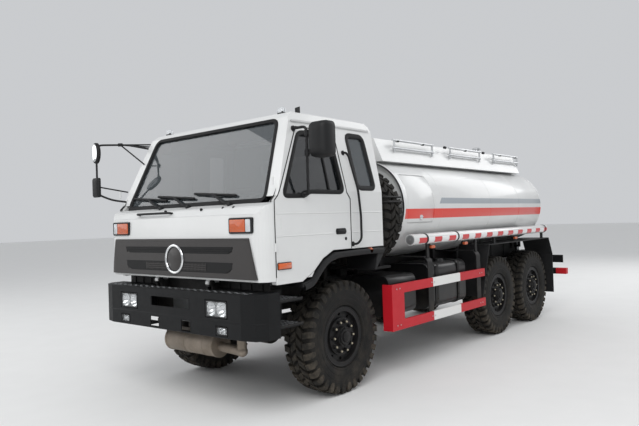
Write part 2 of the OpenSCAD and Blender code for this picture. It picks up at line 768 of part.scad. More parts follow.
// Discharge outlet on the rear head, with a flange of eight holes.
module outlet() {
  z = 1330;
  color(steel)
    difference() {
      union() {
        bar_y(tank_y1 - 44, tank_y1 + 130, 0, z, 96, round_fn);
        bar_y(tank_y1 + 110, tank_y1 + 130, 0, z, 200, round_fn);
      }
      bar_y(tank_y1 - 10, tank_y1 + 140, 0, z, 80, round_fn);
      for (i = [0 : 7]) translate([0, 0, z]) rotate([0, 22.5 + 45 * i, 0]) translate([80, 0, 0])
        bar_y(tank_y1 + 100, tank_y1 + 140, 0, 0, 18);
    }
}

// ---------- steering ----------

module knuckle(side) {
  color("#3a3b3d")
    mirror([side > 0 ? 0 : 1, 0, 0]) {
      // yoke plates above and below the beam's eye
      for (z = [hub_z + 76, hub_z - 76 - 30]) {
        bar_z(z, z + 30, kingpin_x, fa, 100);
        box([kingpin_x, fa - 50, z], [kingpin_x + 70, fa + 50, z + 30]);
      }
      // kingpin
      bar_z(hub_z - 100, hub_z + 100, kingpin_x, fa, 43.9);
      // upright and spindle
      box([kingpin_x + 52, fa - 50, hub_z - 106], [kingpin_x + 72, fa + 50, hub_z + 106]);
      bar_x(kingpin_x + 71, track / 2 + 60, fa, hub_z, 100);
      // arm back and inwards to the tie rod
      translate([0, 0, hub_z - 106]) linear_extrude(height = 22)
        polygon([[kingpin_x - 40, fa + 10], [kingpin_x + 20, fa + 30], [tie_x + 22, fa + arm_l], [tie_x - 22, fa + arm_l]]);
      bar_z(hub_z - 106, hub_z - 84, tie_x, fa + arm_l, 50);
    }
}

module tie_rod() {
  color("#3a3b3d") {
    bar_x(-tie_x, tie_x, fa + arm_l, hub_z - 130, 40);
    both_sides() bar_z(hub_z - 152, hub_z - 107, tie_x, fa + arm_l, 46);
  }
}

// ---------- cab ----------

// Front view outline, moved in by inset.
module cab_section(inset) {
  w = cab_w / 2 - inset;
  t = cab_roof_w / 2 - inset;
  z = roof_z - inset;
  polygon([[-w, 1000], [w, 1000], [w, sill_z + 30], [t, roof_z - 140], [t - 40, z - 50], [t - 150, z - 14],
           [t - 400, z], [-t + 400, z], [-t + 150, z - 14], [-t + 40, z - 50], [-t, roof_z - 140], [-w, sill_z + 30]]);
}

// Side view outline of the whole cab, with the floor line of the wheel arch.
module cab_profile() {
  z = roof_z;
  polygon([[cab_y0 + 20, skirt_z], [cab_y0, 1500], [cab_y0 + 12, 1730], [cab_y0 + 70, 1800], [fa - 985, 1835],
           [fa - 665, 2590], [fa - 600, 2640], [fa - 480, 2675], [fa - 250, z], [fa + 300, z],
           [cab_y1 - 80, z - 25], [cab_y1 - 10, z - 90], [cab_y1, z - 150], [cab_y1, 1385], [fa - 250, 1385],
           [fa - 400, 1320], [fa - 520, 1220], [fa - 560, skirt_z]]);
}

module cab_plan(inset) {
  r = 150;
  hull_w = cab_w / 2 - inset;
  y0 = cab_y0 + inset;
  polygon(concat(arc(hull_w - r, y0 + r, r, -90, 0, 8), [[hull_w, cab_y1 - inset], [-hull_w, cab_y1 - inset]],
                 arc(-hull_w + r, y0 + r, r, 180, 270, 8)));
}

module cab_solid(inset) {
  intersection() {
    front_extrude(cab_y0 - 20, cab_y1 + 20) cab_section(inset);
    side_extrude(-cab_w, cab_w) offset(delta = -inset) cab_profile();
    translate([0, 0, 900]) linear_extrude(height = 2200) cab_plan(inset);
  }
}

// Side view outline of a door, moved out by grow.
module door_outline(front, rear, edge) {
  polygon([[door_y0 - front, skirt_z - edge - 30], [door_y0 + 320, skirt_z - edge - 30], [door_y0 + 480 , skirt_z + 52 - edge],
           [door_y0 + 600, skirt_z + 150 - edge], [door_y0 + 750, skirt_z + 216 - edge],
           [door_y1 + rear, skirt_z + 216 - edge], [door_y1 + rear, sill_z - 40],
           [door_y1 - 50 + rear, sill_z + 20], [door_y1 - 100 + rear, 2500 + edge], [door_y0 + 400 - front, 2500 + edge],
           [door_y0 + 40 - front, sill_z - 20], [door_y0 - front, sill_z - 60]]);
}

module door_window() {
  polygon([[door_y0 + 120, sill_z - 20], [door_y0 + 405, sill_z - 20], [door_y0 + 405, sill_z + 20],
           [door_y1 - 95, sill_z + 20], [door_y1 - 150, 2455], [door_y0 + 420, 2455], [door_y0 + 110, sill_z + 30]]);
}

module quarter_window() {
  polygon([[door_y1 + 140, sill_z + 60], [cab_y1 - 110, sill_z + 60], [cab_y1 - 170, 2490], [door_y1 + 90, 2490]]);
}

module windscreen_hole(grow) {
  polygon([[-screen_low_x - grow, screen_low_z - grow], [screen_low_x + grow, screen_low_z - grow],
           [screen_high_x + grow, screen_high_z + grow], [-screen_high_x - grow, screen_high_z + grow]]);
}

module cab_shell() {
  color(white)
    difference() {
      cab_solid(0);
      cab_solid(wall_t);
      side_extrude(cab_w / 2 - 300, cab_w) door_outline(door_gap, door_rear_gap, door_gap);
      mirror([1, 0, 0]) side_extrude(cab_w / 2 - 300, cab_w) door_outline(door_gap, door_rear_gap, door_gap);
      both_sides() side_extrude(cab_w / 2 - 200, cab_w) quarter_window();
      front_extrude(cab_y0 - 50, fa - 500) windscreen_hole(0);
      front_extrude(cab_y1 - 100, cab_y1 + 50) translate([0, 2180]) round_rect(1100, 420, 60);
      // the engine stands up through the floor
      box([-380, fa - 600, 1000], [380, cab_y1 - wall_t, 1440]);
    }
  // cover over the engine
  color("#4a4c4f")
    difference() {
      side_extrude(-440, 440) polygon([
        [fa - 660, skirt_z + 20], [fa - 560, skirt_z + 20], [fa - 400, 1345], [fa - 250, 1405], [cab_y1 - wall_t + 1, 1405],
        [cab_y1 - wall_t + 1, 1560], [fa - 660, 1560]]);
      box([-380, fa - 600, 1000], [380, cab_y1 - wall_t + 0.5, 1520]);
    }
  // pivot lugs under the floor
  color(black)
    both_sides()
      difference() {
        union() {
          bar_x(frame_w / 2 - 62, frame_w / 2 - 18, tilt_y, tilt_z, 66);
          box([frame_w / 2 - 62, tilt_y - 20, tilt_z], [frame_w / 2 - 18, tilt_y + 90, skirt_z + 40]);
        }
        bar_x(frame_w / 2 - 70, frame_w / 2 - 10, tilt_y, tilt_z, 31);
      }
}

module cab_glass() {
  color("#9fb4c4", 0.4) {
    intersection() {
      difference() {
        cab_solid(12);
        cab_solid(12 + glass_t);
      }
      union() {
        front_extrude(cab_y0 - 50, fa - 500) windscreen_hole(-1);
        both_sides() side_extrude(cab_w / 2 - 200, cab_w) offset(delta = -1) quarter_window();
        front_extrude(cab_y1 - 60, cab_y1 + 50) translate([0, 2180]) round_rect(1098, 418, 59);
      }
    }
  }
}

module grille() {
  color("#3c3d40")
    difference() {
      intersection() {
        translate([0, 0, skirt_z + 20]) linear_extrude(height = 345)
          difference() {
            intersection() {
              cab_plan(-14);
              translate([-cab_w, cab_y0 - 60]) square([2 * cab_w, 170]);
            }
            cab_plan(-1);
          }
        // the sides slant outwards going down
        front_extrude(cab_y0 - 60, cab_y0 + 200) polygon([
          [-1075, skirt_z + 20], [1075, skirt_z + 20], [1000, skirt_z + 366], [-1000, skirt_z + 366]]);
      }
      front_extrude(cab_y0 - 60, cab_y0 - 8) {
        polygon([[-810, 1460], [810, 1460], [790, 1405], [-790, 1405]]);
        polygon([[-800, 1325], [800, 1325], [770, 1238], [-770, 1238]]);
      }
    }
}

module cab_lamps() {
  color("orange")
    both_sides()
      difference() {
        box([756, cab_y0 - 14, 1572], [1050, cab_y0 + 60, 1708]);
        cab_solid(-skin_gap);
      }
  // marker lamps on the roof, and the aerial on the left
  color("#dfe4e8")
    difference() {
      union() {
        both_sides() box([810, fa - 590, 2600], [890, fa - 530, 2708]);
        box([930, fa - 470, 2600], [950, fa - 410, 2722]);
      }
      cab_solid(-skin_gap);
    }
}

module seats() {
  color("#3d3f42")
    for (x = [-690, 690]) {
      box([x - 225, fa - 330, 1430.3], [x + 225, fa + 150, 1580]);
      translate([x - 220, fa + 155, 1500]) rotate([-10, 0, 0]) cube([440, 110, 620]);
    }
}

module dashboard() {
  color("#2f3133")
    box([-1000, cab_y0 + 135, 1560], [1000, cab_y0 + 330, 1765]);
}

// centre of the steering wheel and the lean of its column
module steering_wheel() {
  color(black)
    translate([wheel_x, wheel_y, wheel_z]) rotate([-wheel_lean, 0, 0]) {
      rotate_extrude($fn = round_fn) translate([215, 0]) circle(d = 30, $fn = 16);
      translate([0, 0, -20]) cylinder(h = 40, d = 120, $fn = small_fn);
      for (a = [90, 210, 330]) rotate([0, 0, a]) translate([50, -12, -8]) cube([160, 24, 12]);
      translate([0, 0, -520]) cylinder(h = 505, d = 50, $fn = small_fn);
    }
}

module cab_fenders() {
  color(black)
    both_sides()
      side_extrude(cab_w / 2 - 350, cab_w / 2 + 12) polygon([
        [fa - 690, 1090], [fa - 690, 1125], [fa - 575, 1150], [fa - 530, 1186], [fa - 400, 1300], [fa - 250, 1364],
        [cab_y1 - 5, 1374], [cab_y1 + 20, 1345], [fa + 400, 1150], [fa + 385, 1156], [fa + 440, 1322],
        [fa - 240, 1322], [fa - 380, 1260], [fa - 500, 1160], [fa - 550, 1105]]);
}

module right_mirror() {
  x = -1390;
  y = fa - 1130;
  color(black) {
    bent_rod([[-1010, fa - 718, 2500], [x, y, 2545], [x, y, 2060], [-1080, fa - 978, 1930]], 24);
    box([x - 80, y - 30, 1985], [x + 60, y + 20, 2200]);
    translate([x - 5, 0, 2465]) front_extrude(y - 28, y + 22) round_rect(150, 230, 70);
  }
}

module left_mirror() {
  x = cab_w / 2 + 60;
  y = fa - 640;
  color(black) {
    bar_z(1870, 2500, x, y, 26);
    box([cab_w / 2 + skin_gap, y - 16, 1876], [x, y + 16, 1900]);
    box([cab_roof_w / 2 + 20, y - 16, 2470], [x, y + 16, 2490]);
    translate([x + 155, 0, 2355]) front_extrude(y - 75, y + 95) round_rect(200, 310, 50);
    box([x - 8, y - 10, 2300], [x + 70, y + 10, 2330]);
  }
}

module door_panel(side) {
  mirror([side > 0 ? 0 : 1, 0, 0])
    color(white)
      difference() {
        intersection() {
          front_extrude(cab_y0, cab_y1) difference() {
            cab_section(0);
            cab_section(door_t);
          }
          side_extrude(cab_w / 2 - 300, cab_w) door_outline(0, 0, 0);
        }
        side_extrude(cab_w / 2 - 300, cab_w) door_window();
      }
}

module door_glass(side) {
  mirror([side > 0 ? 0 : 1, 0, 0])
    color("#9fb4c4", 0.4)
      intersection() {
        front_extrude(cab_y0, cab_y1) difference() {
          cab_section(25);
          cab_section(25 + glass_t);
        }
        side_extrude(cab_w / 2 - 300, cab_w) offset(delta = -1) door_window();
      }
}

chassis_frame();
front_axle();
rear_axles();
leaf_springs();
driveline();
engine();
silencer();
fuel_tank();
side_boxes();
front_bumper();
chassis_lamps();
cab_steps();
air_intake();
spare_tyre();
spare_rim();
spare_carrier();
tank_shell();
tank_cradle();
top_deck();
tank_rails();
rear_ladder();
outlet();
manhole_lid(front_lid_y);  // front_lid
manhole_lid(rear_lid_y);  // rear_lid
cabinet_door();
side_tubes();
side_guards();
rear_mudguards();
rear_bumper();
knuckle(1);  // left_knuckle
knuckle(-1);  // right_knuckle
tie_rod();
tyre(track / 2, fa);  // front_left_tyre
tyre(-track / 2, fa);  // front_right_tyre
tyre(track / 2, ma);  // middle_left_tyre
tyre(-track / 2, ma);  // middle_right_tyre
tyre(track / 2, ra);  // rear_left_tyre
tyre(-track / 2, ra);  // rear_right_tyre
rim(track / 2, fa, 1);  // front_left_rim
rim(-track / 2, fa, -1);  // front_right_rim
rim(track / 2, ma, 1);  // middle_left_rim
rim(-track / 2, ma, -1);  // middle_right_rim
rim(track / 2, ra, 1);  // rear_left_rim
rim(-track / 2, ra, -1);  // rear_right_rim
cab_shell();
cab_glass();
grille();
cab_lamps();
seats();
dashboard();
steering_wheel();
cab_fenders();
right_mirror();
door_panel(1);  // left_door
door_panel(-1);  // right_door
door_glass(1);  // left_door_glass
door_glass(-1);  // right_door_glass
left_mirror();
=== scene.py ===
"""Looks of the tanker truck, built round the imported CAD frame. Metres, +Z up, front towards -Y, left side +X."""
import math

import bmesh
import bpy
from mathutils import Matrix, Vector


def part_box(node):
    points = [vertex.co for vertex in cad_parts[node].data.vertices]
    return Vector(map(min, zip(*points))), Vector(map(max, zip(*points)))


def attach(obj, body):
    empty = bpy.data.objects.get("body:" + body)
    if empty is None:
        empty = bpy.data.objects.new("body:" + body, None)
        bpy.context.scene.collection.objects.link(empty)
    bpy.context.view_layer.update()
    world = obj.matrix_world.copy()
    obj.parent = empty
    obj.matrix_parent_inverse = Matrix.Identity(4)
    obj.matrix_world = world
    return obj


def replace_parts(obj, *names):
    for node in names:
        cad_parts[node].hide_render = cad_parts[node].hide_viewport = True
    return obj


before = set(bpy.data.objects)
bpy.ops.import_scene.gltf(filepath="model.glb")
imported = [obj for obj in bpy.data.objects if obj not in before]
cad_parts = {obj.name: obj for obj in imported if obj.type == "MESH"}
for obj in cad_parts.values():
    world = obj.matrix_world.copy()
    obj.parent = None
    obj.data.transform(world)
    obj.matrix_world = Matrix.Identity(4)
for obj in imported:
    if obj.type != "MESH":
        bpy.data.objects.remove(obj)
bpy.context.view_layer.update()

# ---------- driving dimensions, from the frame ----------


def middle(node):
    low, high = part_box(node)
    return (Vector(low) + Vector(high)) / 2


FRONT_HUB = middle("front_left_tyre")
FA = FRONT_HUB.y                                 # front axle
MA = middle("middle_left_tyre").y                # middle axle
RA = middle("rear_left_tyre").y                  # rear axle
HUB_Z = FRONT_HUB.z
TYRE_R = HUB_Z
TYRE_HALF_W = (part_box("front_left_tyre")[1][0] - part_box("front_left_tyre")[0][0]) / 2
TANK_LOW, TANK_HIGH = [Vector(c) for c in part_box("tank_shell")]
TANK_Z = (TANK_LOW.z + TANK_HIGH.z) / 2
DECK_HIGH = Vector(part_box("top_deck")[1])
CAB_LOW, CAB_HIGH = [Vector(c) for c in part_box("cab_shell")]
BUMPER_LOW, BUMPER_HIGH = [Vector(c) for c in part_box("front_bumper")]
GUARD_HIGH = Vector(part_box("side_guards")[1])
TUBE_LOW, TUBE_HIGH = [Vector(c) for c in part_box("side_tubes")]
TUBE_R = (TUBE_HIGH.z - TUBE_LOW.z) / 2
TUBE_X = TUBE_HIGH.x - TUBE_R
TUBE_Z = (TUBE_HIGH.z + TUBE_LOW.z) / 2
SIDES = {"left": 1, "right": -1}

# ---------- shape of the cab and the tank, as the CAD draws them ----------
TANK_SIDE_R = 0.52                               # radius of the tank's sides
CAB_HALF = CAB_HIGH.x
ROOF_HALF = 1.04
CORNER_R = 0.15                                  # front corners of the cab, from above
CAB_FRONT_Y = FA - 1.15
TAPER_LOW_Z, TAPER_HIGH_Z = 1.93, 2.55           # the cab's sides lean in between these heights
SIDE_TAPER = 0.1855                              # and by this much for each metre of height
SCREEN_FOOT_Z, SCREEN_LEAN = 1.835, 0.424        # the windscreen leans back from here
HEADER_Z, HEADER_LEAN = 2.60, 4.0                # above it, the roof's front edge runs back
EAVES_LEAN = 1.2                                 # the roof's side edges round in
FRONT_PROFILE = [(1.17, 0.02), (1.5, 0.0), (1.73, 0.012), (1.80, 0.07), (1.835, 0.165), (2.59, 0.485), (2.64, 0.55),
                 (2.675, 0.67), (2.69, 0.90)]    # height, and how far behind the front

# ---------- camera ----------
CAMERA_PLACE = (4.681, FA - 4.571, 1.665)
CAMERA_YAW = 0.7055
CAMERA_PITCH = 0.0117
CAMERA_ROLL = -0.0326
CAMERA_LENS = 34.21


def add_camera():
    yaw, pitch, roll = CAMERA_YAW, CAMERA_PITCH, CAMERA_ROLL
    ahead = Vector((-math.sin(yaw) * math.cos(pitch), math.cos(yaw) * math.cos(pitch), math.sin(pitch)))
    right = Vector((math.cos(yaw), math.sin(yaw), 0))
    up = right.cross(ahead)
    rolled_right = math.cos(roll) * right + math.sin(roll) * up
    rolled_up = -math.sin(roll) * right + math.cos(roll) * up
    data = bpy.data.cameras.new("camera")
    data.lens = CAMERA_LENS
    data.sensor_width = 36
    data.clip_end = 300
    obj = bpy.data.objects.new("camera", data)
    turn = Matrix((rolled_right, rolled_up, -ahead)).transposed()
    obj.matrix_world = Matrix.Translation(CAMERA_PLACE) @ turn.to_4x4()
    bpy.context.collection.objects.link(obj)
    bpy.context.scene.camera = obj


add_camera()

# ---------- materials ----------
M = {}                                           # every material, by the name it is made with


class Nodes:
    """Short names for the node tree of one material."""

    def __init__(self, name):
        self.mat = M[name] = bpy.data.materials.new(name)
        self.mat.use_nodes = True
        self.tree = self.mat.node_tree
        self.shader = self.tree.nodes["Principled BSDF"]
        coords = self.tree.nodes.new("ShaderNodeTexCoord")
        self.place = coords.outputs["Object"]
        split = self.tree.nodes.new("ShaderNodeSeparateXYZ")
        self.tree.links.new(self.place, split.inputs[0])
        self.x, self.y, self.z = split.outputs

    def link(self, a, b):
        self.tree.links.new(a, b)

    def math(self, operation, a, b=0.0, c=0.0, clamp=False):
        node = self.tree.nodes.new("ShaderNodeMath")
        node.operation = operation
        node.use_clamp = clamp
        for socket, value in zip(node.inputs, (a, b, c)):
            if isinstance(value, (int, float)):
                socket.default_value = value
            else:
                self.link(value, socket)
        return node.outputs[0]

    def noise(self, scale, detail=4.0, rough=0.55):
        node = self.tree.nodes.new("ShaderNodeTexNoise")
        node.inputs["Scale"].default_value = scale
        node.inputs["Detail"].default_value = detail
        node.inputs["Roughness"].default_value = rough
        self.link(self.place, node.inputs["Vector"])
        return node.outputs["Fac"]

    def ramp(self, value, low, high, to_low=0.0, to_high=1.0):
        node = self.tree.nodes.new("ShaderNodeMapRange")
        node.interpolation_type = "SMOOTHSTEP"
        for key, number in (("From Min", low), ("From Max", high), ("To Min", to_low), ("To Max", to_high)):
            node.inputs[key].default_value = number
        self.link(value, node.inputs["Value"])
        return node.outputs["Result"]

    def mix(self, factor, a, b):
        node = self.tree.nodes.new("ShaderNodeMix")
        node.data_type = "RGBA"
        for socket, value in ((node.inputs[0], factor), (node.inputs[6], a), (node.inputs[7], b)):
            if isinstance(value, (int, float)):
                socket.default_value = value
            elif isinstance(value, tuple):
                socket.default_value = (*value, 1)
            else:
                self.link(value, socket)
        return node.outputs[2]

    def above(self, a, b):
        return self.math("GREATER_THAN", a, b)

    def below(self, a, b):
        return self.math("LESS_THAN", a, b)

    def times(self, first, *others):
        for other in others:
            first = self.math("MULTIPLY", first, other)
        return first

    def band(self, value, low, high):
        return self.times(self.above(value, low), self.below(value, high))

    def past(self, value, start, slope):
        """Zero up to the start, and growing by the slope beyond it."""
        return self.times(self.math("MAXIMUM", self.math("SUBTRACT", value, start), 0.0), slope)

    def bump(self, height, strength, distance=0.002):
        node = self.tree.nodes.new("ShaderNodeBump")
        node.inputs["Strength"].default_value = strength
        node.inputs["Distance"].default_value = distance
        self.link(height, node.inputs["Height"])
        self.link(node.outputs[0], self.shader.inputs["Normal"])

    def set(self, **values):
        for key, value in values.items():
            self.shader.inputs[key.replace("_", " ")].default_value = value


DUST = (0.30, 0.25, 0.19)


def shade(colour, factor):
    return tuple(min(1.0, c * factor) for c in colour)


def surface(name, colour, rough=0.4, metal=0.0, coat=0.0, blotch=0.08, dust=0.0, dust_top=0.9,
            grain=180.0, bump=0.06, paint=None, rough_spread=0.12, gleam=0.5):
    """Painted, moulded or bare surface: blotchy colour, dust that settles low down, fine grain in gloss and bump.
    paint(nodes, colour) may put stripes on the colour."""
    n = Nodes(name)
    large = n.noise(2.3, 5.0)
    base = n.mix(n.ramp(large, 0.3, 0.7), shade(colour, 1 - blotch), shade(colour, 1 + blotch))
    if paint:
        base = paint(n, base)
    fine = n.noise(grain, 3.0)
    if dust:
        patches = n.ramp(n.noise(9.0, 8.0, 0.7), 0.35, 0.75)
        low = n.ramp(n.z, 0.05, dust_top, 1.0, 0.12)
        amount = n.math("MULTIPLY", n.times(patches, low), dust, clamp=True)
        base = n.mix(amount, base, DUST)
        n.link(n.math("ADD", n.ramp(fine, 0.2, 0.8, rough, rough + rough_spread), amount, clamp=True),
               n.shader.inputs["Roughness"])
    else:
        smudge = n.noise(14.0, 6.0, 0.65)
        n.link(n.ramp(smudge, 0.25, 0.8, rough, rough + rough_spread), n.shader.inputs["Roughness"])
    n.link(base, n.shader.inputs["Base Color"])
    n.bump(fine, bump)
    n.set(Metallic=metal, Coat_Weight=coat, Coat_Roughness=0.06, Specular_IOR_Level=gleam)
    return n.mat


# heights of the tank's stripes, and where the grey one starts at its lower edge
RED_STRIPE = (1.647, 1.757)
GREY_STRIPE = (1.815, 1.885)
GREY_START_Y = FA + 1.80
GREY_SLANT = 0.9


def tank_stripes(n, base):
    """A red stripe along the tank and a grey one above it that starts further back on a slant."""
    red = n.times(n.band(n.z, *RED_STRIPE), n.above(n.y, TANK_LOW.y + 0.03))
    slant = n.math("SUBTRACT", n.y, n.times(n.z, GREY_SLANT))
    grey = n.times(n.band(n.z, *GREY_STRIPE), n.above(slant, GREY_START_Y - GREY_STRIPE[0] * GREY_SLANT))
    # only the outer skin of the sides: off the recessed heads and the cabinet's recess
    across = n.math("SUBTRACT", n.math("ABSOLUTE", n.x), TANK_HIGH.x - TANK_SIDE_R)
    upright = n.math("SUBTRACT", n.z, TANK_Z)
    off = n.math("ADD", n.times(across, across), n.times(upright, upright))
    sides = n.times(n.above(off, 0.50 ** 2), n.above(across, 0.3), n.below(n.y, TANK_HIGH.y - 0.004))
    base = n.mix(n.times(grey, sides), base, (0.33, 0.36, 0.39))
    return n.mix(n.times(red, sides), base, (0.68, 0.055, 0.04))


def cab_inner_trim_and_shade(n, base):
    """The cab's inner faces are darkened to a near-black grey, the trim's own grey deepened with painted shade, and a
    band along its lower edge behind the grille is black painted shade.
    """
    across = n.math("ABSOLUTE", n.x)
    eaves = n.past(n.z, TAPER_HIGH_Z, EAVES_LEAN)
    inner = n.below(n.math("ADD", n.math("ADD", across, n.past(n.z, TAPER_LOW_Z, SIDE_TAPER)), eaves), CAB_HALF - 0.022)
    leaning = n.math("ADD", n.past(n.z, SCREEN_FOOT_Z, SCREEN_LEAN), n.past(n.z, HEADER_Z, HEADER_LEAN))
    behind = n.above(n.math("SUBTRACT", n.y, leaning), CAB_FRONT_Y + 0.205)
    ahead = n.below(n.math("ADD", n.y, eaves), CAB_HIGH.y - 0.02)
    under = n.below(n.z, CAB_HIGH.z - 0.036)
    # painted shade: the inner faces of the cab get a near-black grey, darker than the trim itself, standing in for the
    # shade inside the cab
    base = n.mix(n.times(inner, behind, ahead, under), base, (0.050, 0.052, 0.056))
    # painted shade: a black band along the cab's lowest edge behind the grille, where shade falls under the cab
    edge = n.times(n.below(n.z, CAB_LOW.z + 0.022), n.below(across, 1.06))
    return n.mix(edge, base, (0.008, 0.008, 0.009))


def red_ends(n, base):
    """The underrun bar's ends are red."""
    ends = n.times(n.above(n.math("ABSOLUTE", n.x), 0.93), n.below(n.z, 0.72))
    return n.mix(ends, base, (0.50, 0.014, 0.02))


def guard_stripes(n, base):
    """The middle stretch of each guard rail is white."""
    return n.mix(n.band(n.y, FA + 1.50, FA + 2.15), base, (0.78, 0.78, 0.76))


def glass(name, tint, cover):
    """Thin pane: light passes straight through it, and it covers part of what is behind."""
    n = Nodes(name)
    n.link(n.ramp(n.noise(7.0, 5.0), 0.3, 0.8, 0.0, 0.006), n.shader.inputs["Roughness"])
    n.link(n.mix(n.noise(1.5), shade(tint, 0.96), shade(tint, 1.04)), n.shader.inputs["Base Color"])
    n.set(Alpha=cover, Specular_IOR_Level=1.0, Coat_Weight=1.0, Coat_Roughness=0.01)
    return n.mat


def lens(name, colour):
    """Moulded lamp lens with fine upright flutes."""
    n = Nodes(name)
    wave = n.tree.nodes.new("ShaderNodeTexWave")
    wave.inputs["Scale"].default_value = 60
    wave.inputs["Distortion"].default_value = 0.4
    n.link(n.place, wave.inputs["Vector"])
    n.link(n.mix(wave.outputs["Fac"], shade(colour, 0.72), shade(colour, 1.15)), n.shader.inputs["Base Color"])
    n.link(n.ramp(n.noise(30.0), 0.2, 0.8, 0.08, 0.2), n.shader.inputs["Roughness"])
    n.bump(wave.outputs["Fac"], 0.5, 0.003)
    n.set(Coat_Weight=0.8, Coat_Roughness=0.03)
    return n.mat


def woven(name, colour):
    """Coarse cloth."""
    n = Nodes(name)
    weave = n.tree.nodes.new("ShaderNodeTexVoronoi")
    weave.inputs["Scale"].default_value = 260
    n.link(n.place, weave.inputs["Vector"])
    n.link(n.mix(weave.outputs["Distance"], shade(colour, 0.8), shade(colour, 1.2)), n.shader.inputs["Base Color"])
    n.link(n.ramp(n.noise(20.0), 0.2, 0.8, 0.75, 0.95), n.shader.inputs["Roughness"])
    n.bump(weave.outputs["Distance"], 0.5, 0.002)
    n.set(Sheen_Weight=0.3)
    return n.mat


WHITE = (0.66, 0.665, 0.66)
# the cab's paint puts painted shade on its inner faces and along its lower edge
surface("cab_white", WHITE, 0.30, coat=0.3, blotch=0.02, bump=0.004, rough_spread=0.04, paint=cab_inner_trim_and_shade)
surface("tank_white", WHITE, 0.32, coat=0.3, blotch=0.025, bump=0.004, rough_spread=0.04, paint=tank_stripes)
surface("plain_white", WHITE, 0.28, coat=0.3, blotch=0.03, bump=0.004, rough_spread=0.04)
surface("frame_black", (0.008, 0.008, 0.0085), 0.5, gleam=0.3, dust=0.2, dust_top=1.3, bump=0.12)
surface("axle_black", (0.010, 0.010, 0.0105), 0.55, gleam=0.3, dust=0.3, dust_top=1.0, bump=0.25, grain=90)
surface("bumper_black", (0.0055, 0.0058, 0.0065), 0.45, bump=0.1, gleam=0.2)
surface("rear_bar", (0.0055, 0.0058, 0.0065), 0.45, bump=0.1, gleam=0.2, paint=red_ends)
surface("tank_black", (0.007, 0.0072, 0.008), 0.3, dust=0.1, dust_top=1.2, coat=0.1, gleam=0.35)
surface("black_plastic", (0.009, 0.0092, 0.010), 0.5, dust=0.03, dust_top=1.6, bump=0.2, grain=320, gleam=0.3)
surface("rubber", (0.005, 0.005, 0.0055), 0.55, dust=0.02, bump=0.1, gleam=0.3)
surface("tyre", (0.0080, 0.0078, 0.0076), 0.66, dust=0.10, dust_top=1.3, bump=0.3, grain=140, gleam=0.25)
surface("tyre_tread", (0.0125, 0.0118, 0.0105), 0.72, dust=0.30, dust_top=1.4, bump=0.4, grain=120, gleam=0.25)
surface("wheel_black", (0.008, 0.008, 0.0088), 0.42, gleam=0.25, dust=0.04, dust_top=1.4, bump=0.12)
surface("engine_metal", (0.22, 0.23, 0.235), 0.6, metal=0.6, dust=0.4, dust_top=1.5, bump=0.4)
surface("exhaust_metal", (0.30, 0.255, 0.21), 0.42, metal=0.75, dust=0.5, blotch=0.25, bump=0.2)
surface("rail_metal", (0.55, 0.56, 0.57), 0.32, metal=0.85, blotch=0.1)
surface("chrome", (0.80, 0.81, 0.82), 0.06, metal=1.0, blotch=0.03, bump=0.01, rough_spread=0.05)
surface("mirror", (0.86, 0.88, 0.89), 0.03, metal=1.0, blotch=0.01, bump=0.0, rough_spread=0.02)
surface("nut_metal", (0.42, 0.38, 0.29), 0.45, metal=0.7, dust=0.2, bump=0.3)
surface("guard_red", (0.52, 0.012, 0.022), 0.38, coat=0.08, gleam=0.25, blotch=0.04, paint=guard_stripes, bump=0.03)
surface("tape_red", (0.62, 0.015, 0.02), 0.3, coat=0.3, grain=500, bump=0.3)
surface("tape_white", (0.80, 0.80, 0.80), 0.3, coat=0.3, grain=500, bump=0.3)
surface("grille_grey", (0.036, 0.033, 0.032), 0.36, coat=0.1, blotch=0.05, bump=0.05, gleam=0.35)
glass("glass", (0.075, 0.088, 0.096), 0.55)
glass("dark_glass", (0.010, 0.012, 0.014), 0.75)
glass("lamp_clear", (0.55, 0.57, 0.58), 0.22)
lens("lamp_orange", (0.58, 0.095, 0.012))
lens("lamp_red", (0.50, 0.015, 0.012))
lens("lamp_pale", (0.62, 0.64, 0.66))
woven("seat_fabric", (0.06, 0.062, 0.068))
# painted shade: near-black matte sheet for the rebate behind the door gap
surface("painted_gap_shade", (0.03, 0.03, 0.03), 0.8, bump=0.1)

# ---------- mesh helpers ----------


def face_smooth(mesh, angle=35):
    mesh.polygons.foreach_set("use_smooth", [True] * len(mesh.polygons))
    mesh.set_sharp_from_angle(angle=math.radians(angle))


def piece(name, shapes, material, body, slot=None, bevel=0.0, angle=35):
    """One mesh object from a list of (points, faces), beveled, with its material, riding on a body.
    The slot is not used."""
    slot = slot or material
    points, faces = [], []
    for shape_points, shape_faces in shapes:
        base = len(points)
        points += [tuple(p) for p in shape_points]
        faces += [tuple(i + base for i in f) for f in shape_faces]
    mesh = bpy.data.meshes.new(name)
    mesh.from_pydata(points, [], faces)
    work = bmesh.new()
    work.from_mesh(mesh)
    bmesh.ops.recalc_face_normals(work, faces=work.faces)
    work.to_mesh(mesh)
    work.free()
    mesh.materials.append(M[material])
    face_smooth(mesh, angle)
    obj = bpy.data.objects.new(name, mesh)
    bpy.context.collection.objects.link(obj)
    if bevel:
        soften(obj, bevel)
    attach(obj, body)
    return obj


def soften(obj, width, angle=30):
    mod = obj.modifiers.new("bevel", "BEVEL")
    mod.width = width
    mod.segments = 2
    mod.limit_method = "ANGLE"
    mod.angle_limit = math.radians(angle)


# for a prism: where the outline's two numbers and the height go
PLACES = {"x": lambda u, v, h: (h, u, v), "y": lambda u, v, h: (u, h, v), "z": lambda u, v, h: (u, v, h)}


def prism(outline, axis, low, high):
    """Closed outline pulled along an axis. The outline is (y, z), (x, z) or (x, y)."""
    points = [PLACES[axis](u, v, height) for height in (low, high) for u, v in outline]
    n = len(outline)
    faces = [tuple(range(n)), tuple(range(2 * n - 1, n - 1, -1))]
    faces += [(i, (i + 1) % n, (i + 1) % n + n, i + n) for i in range(n)]
    return points, faces


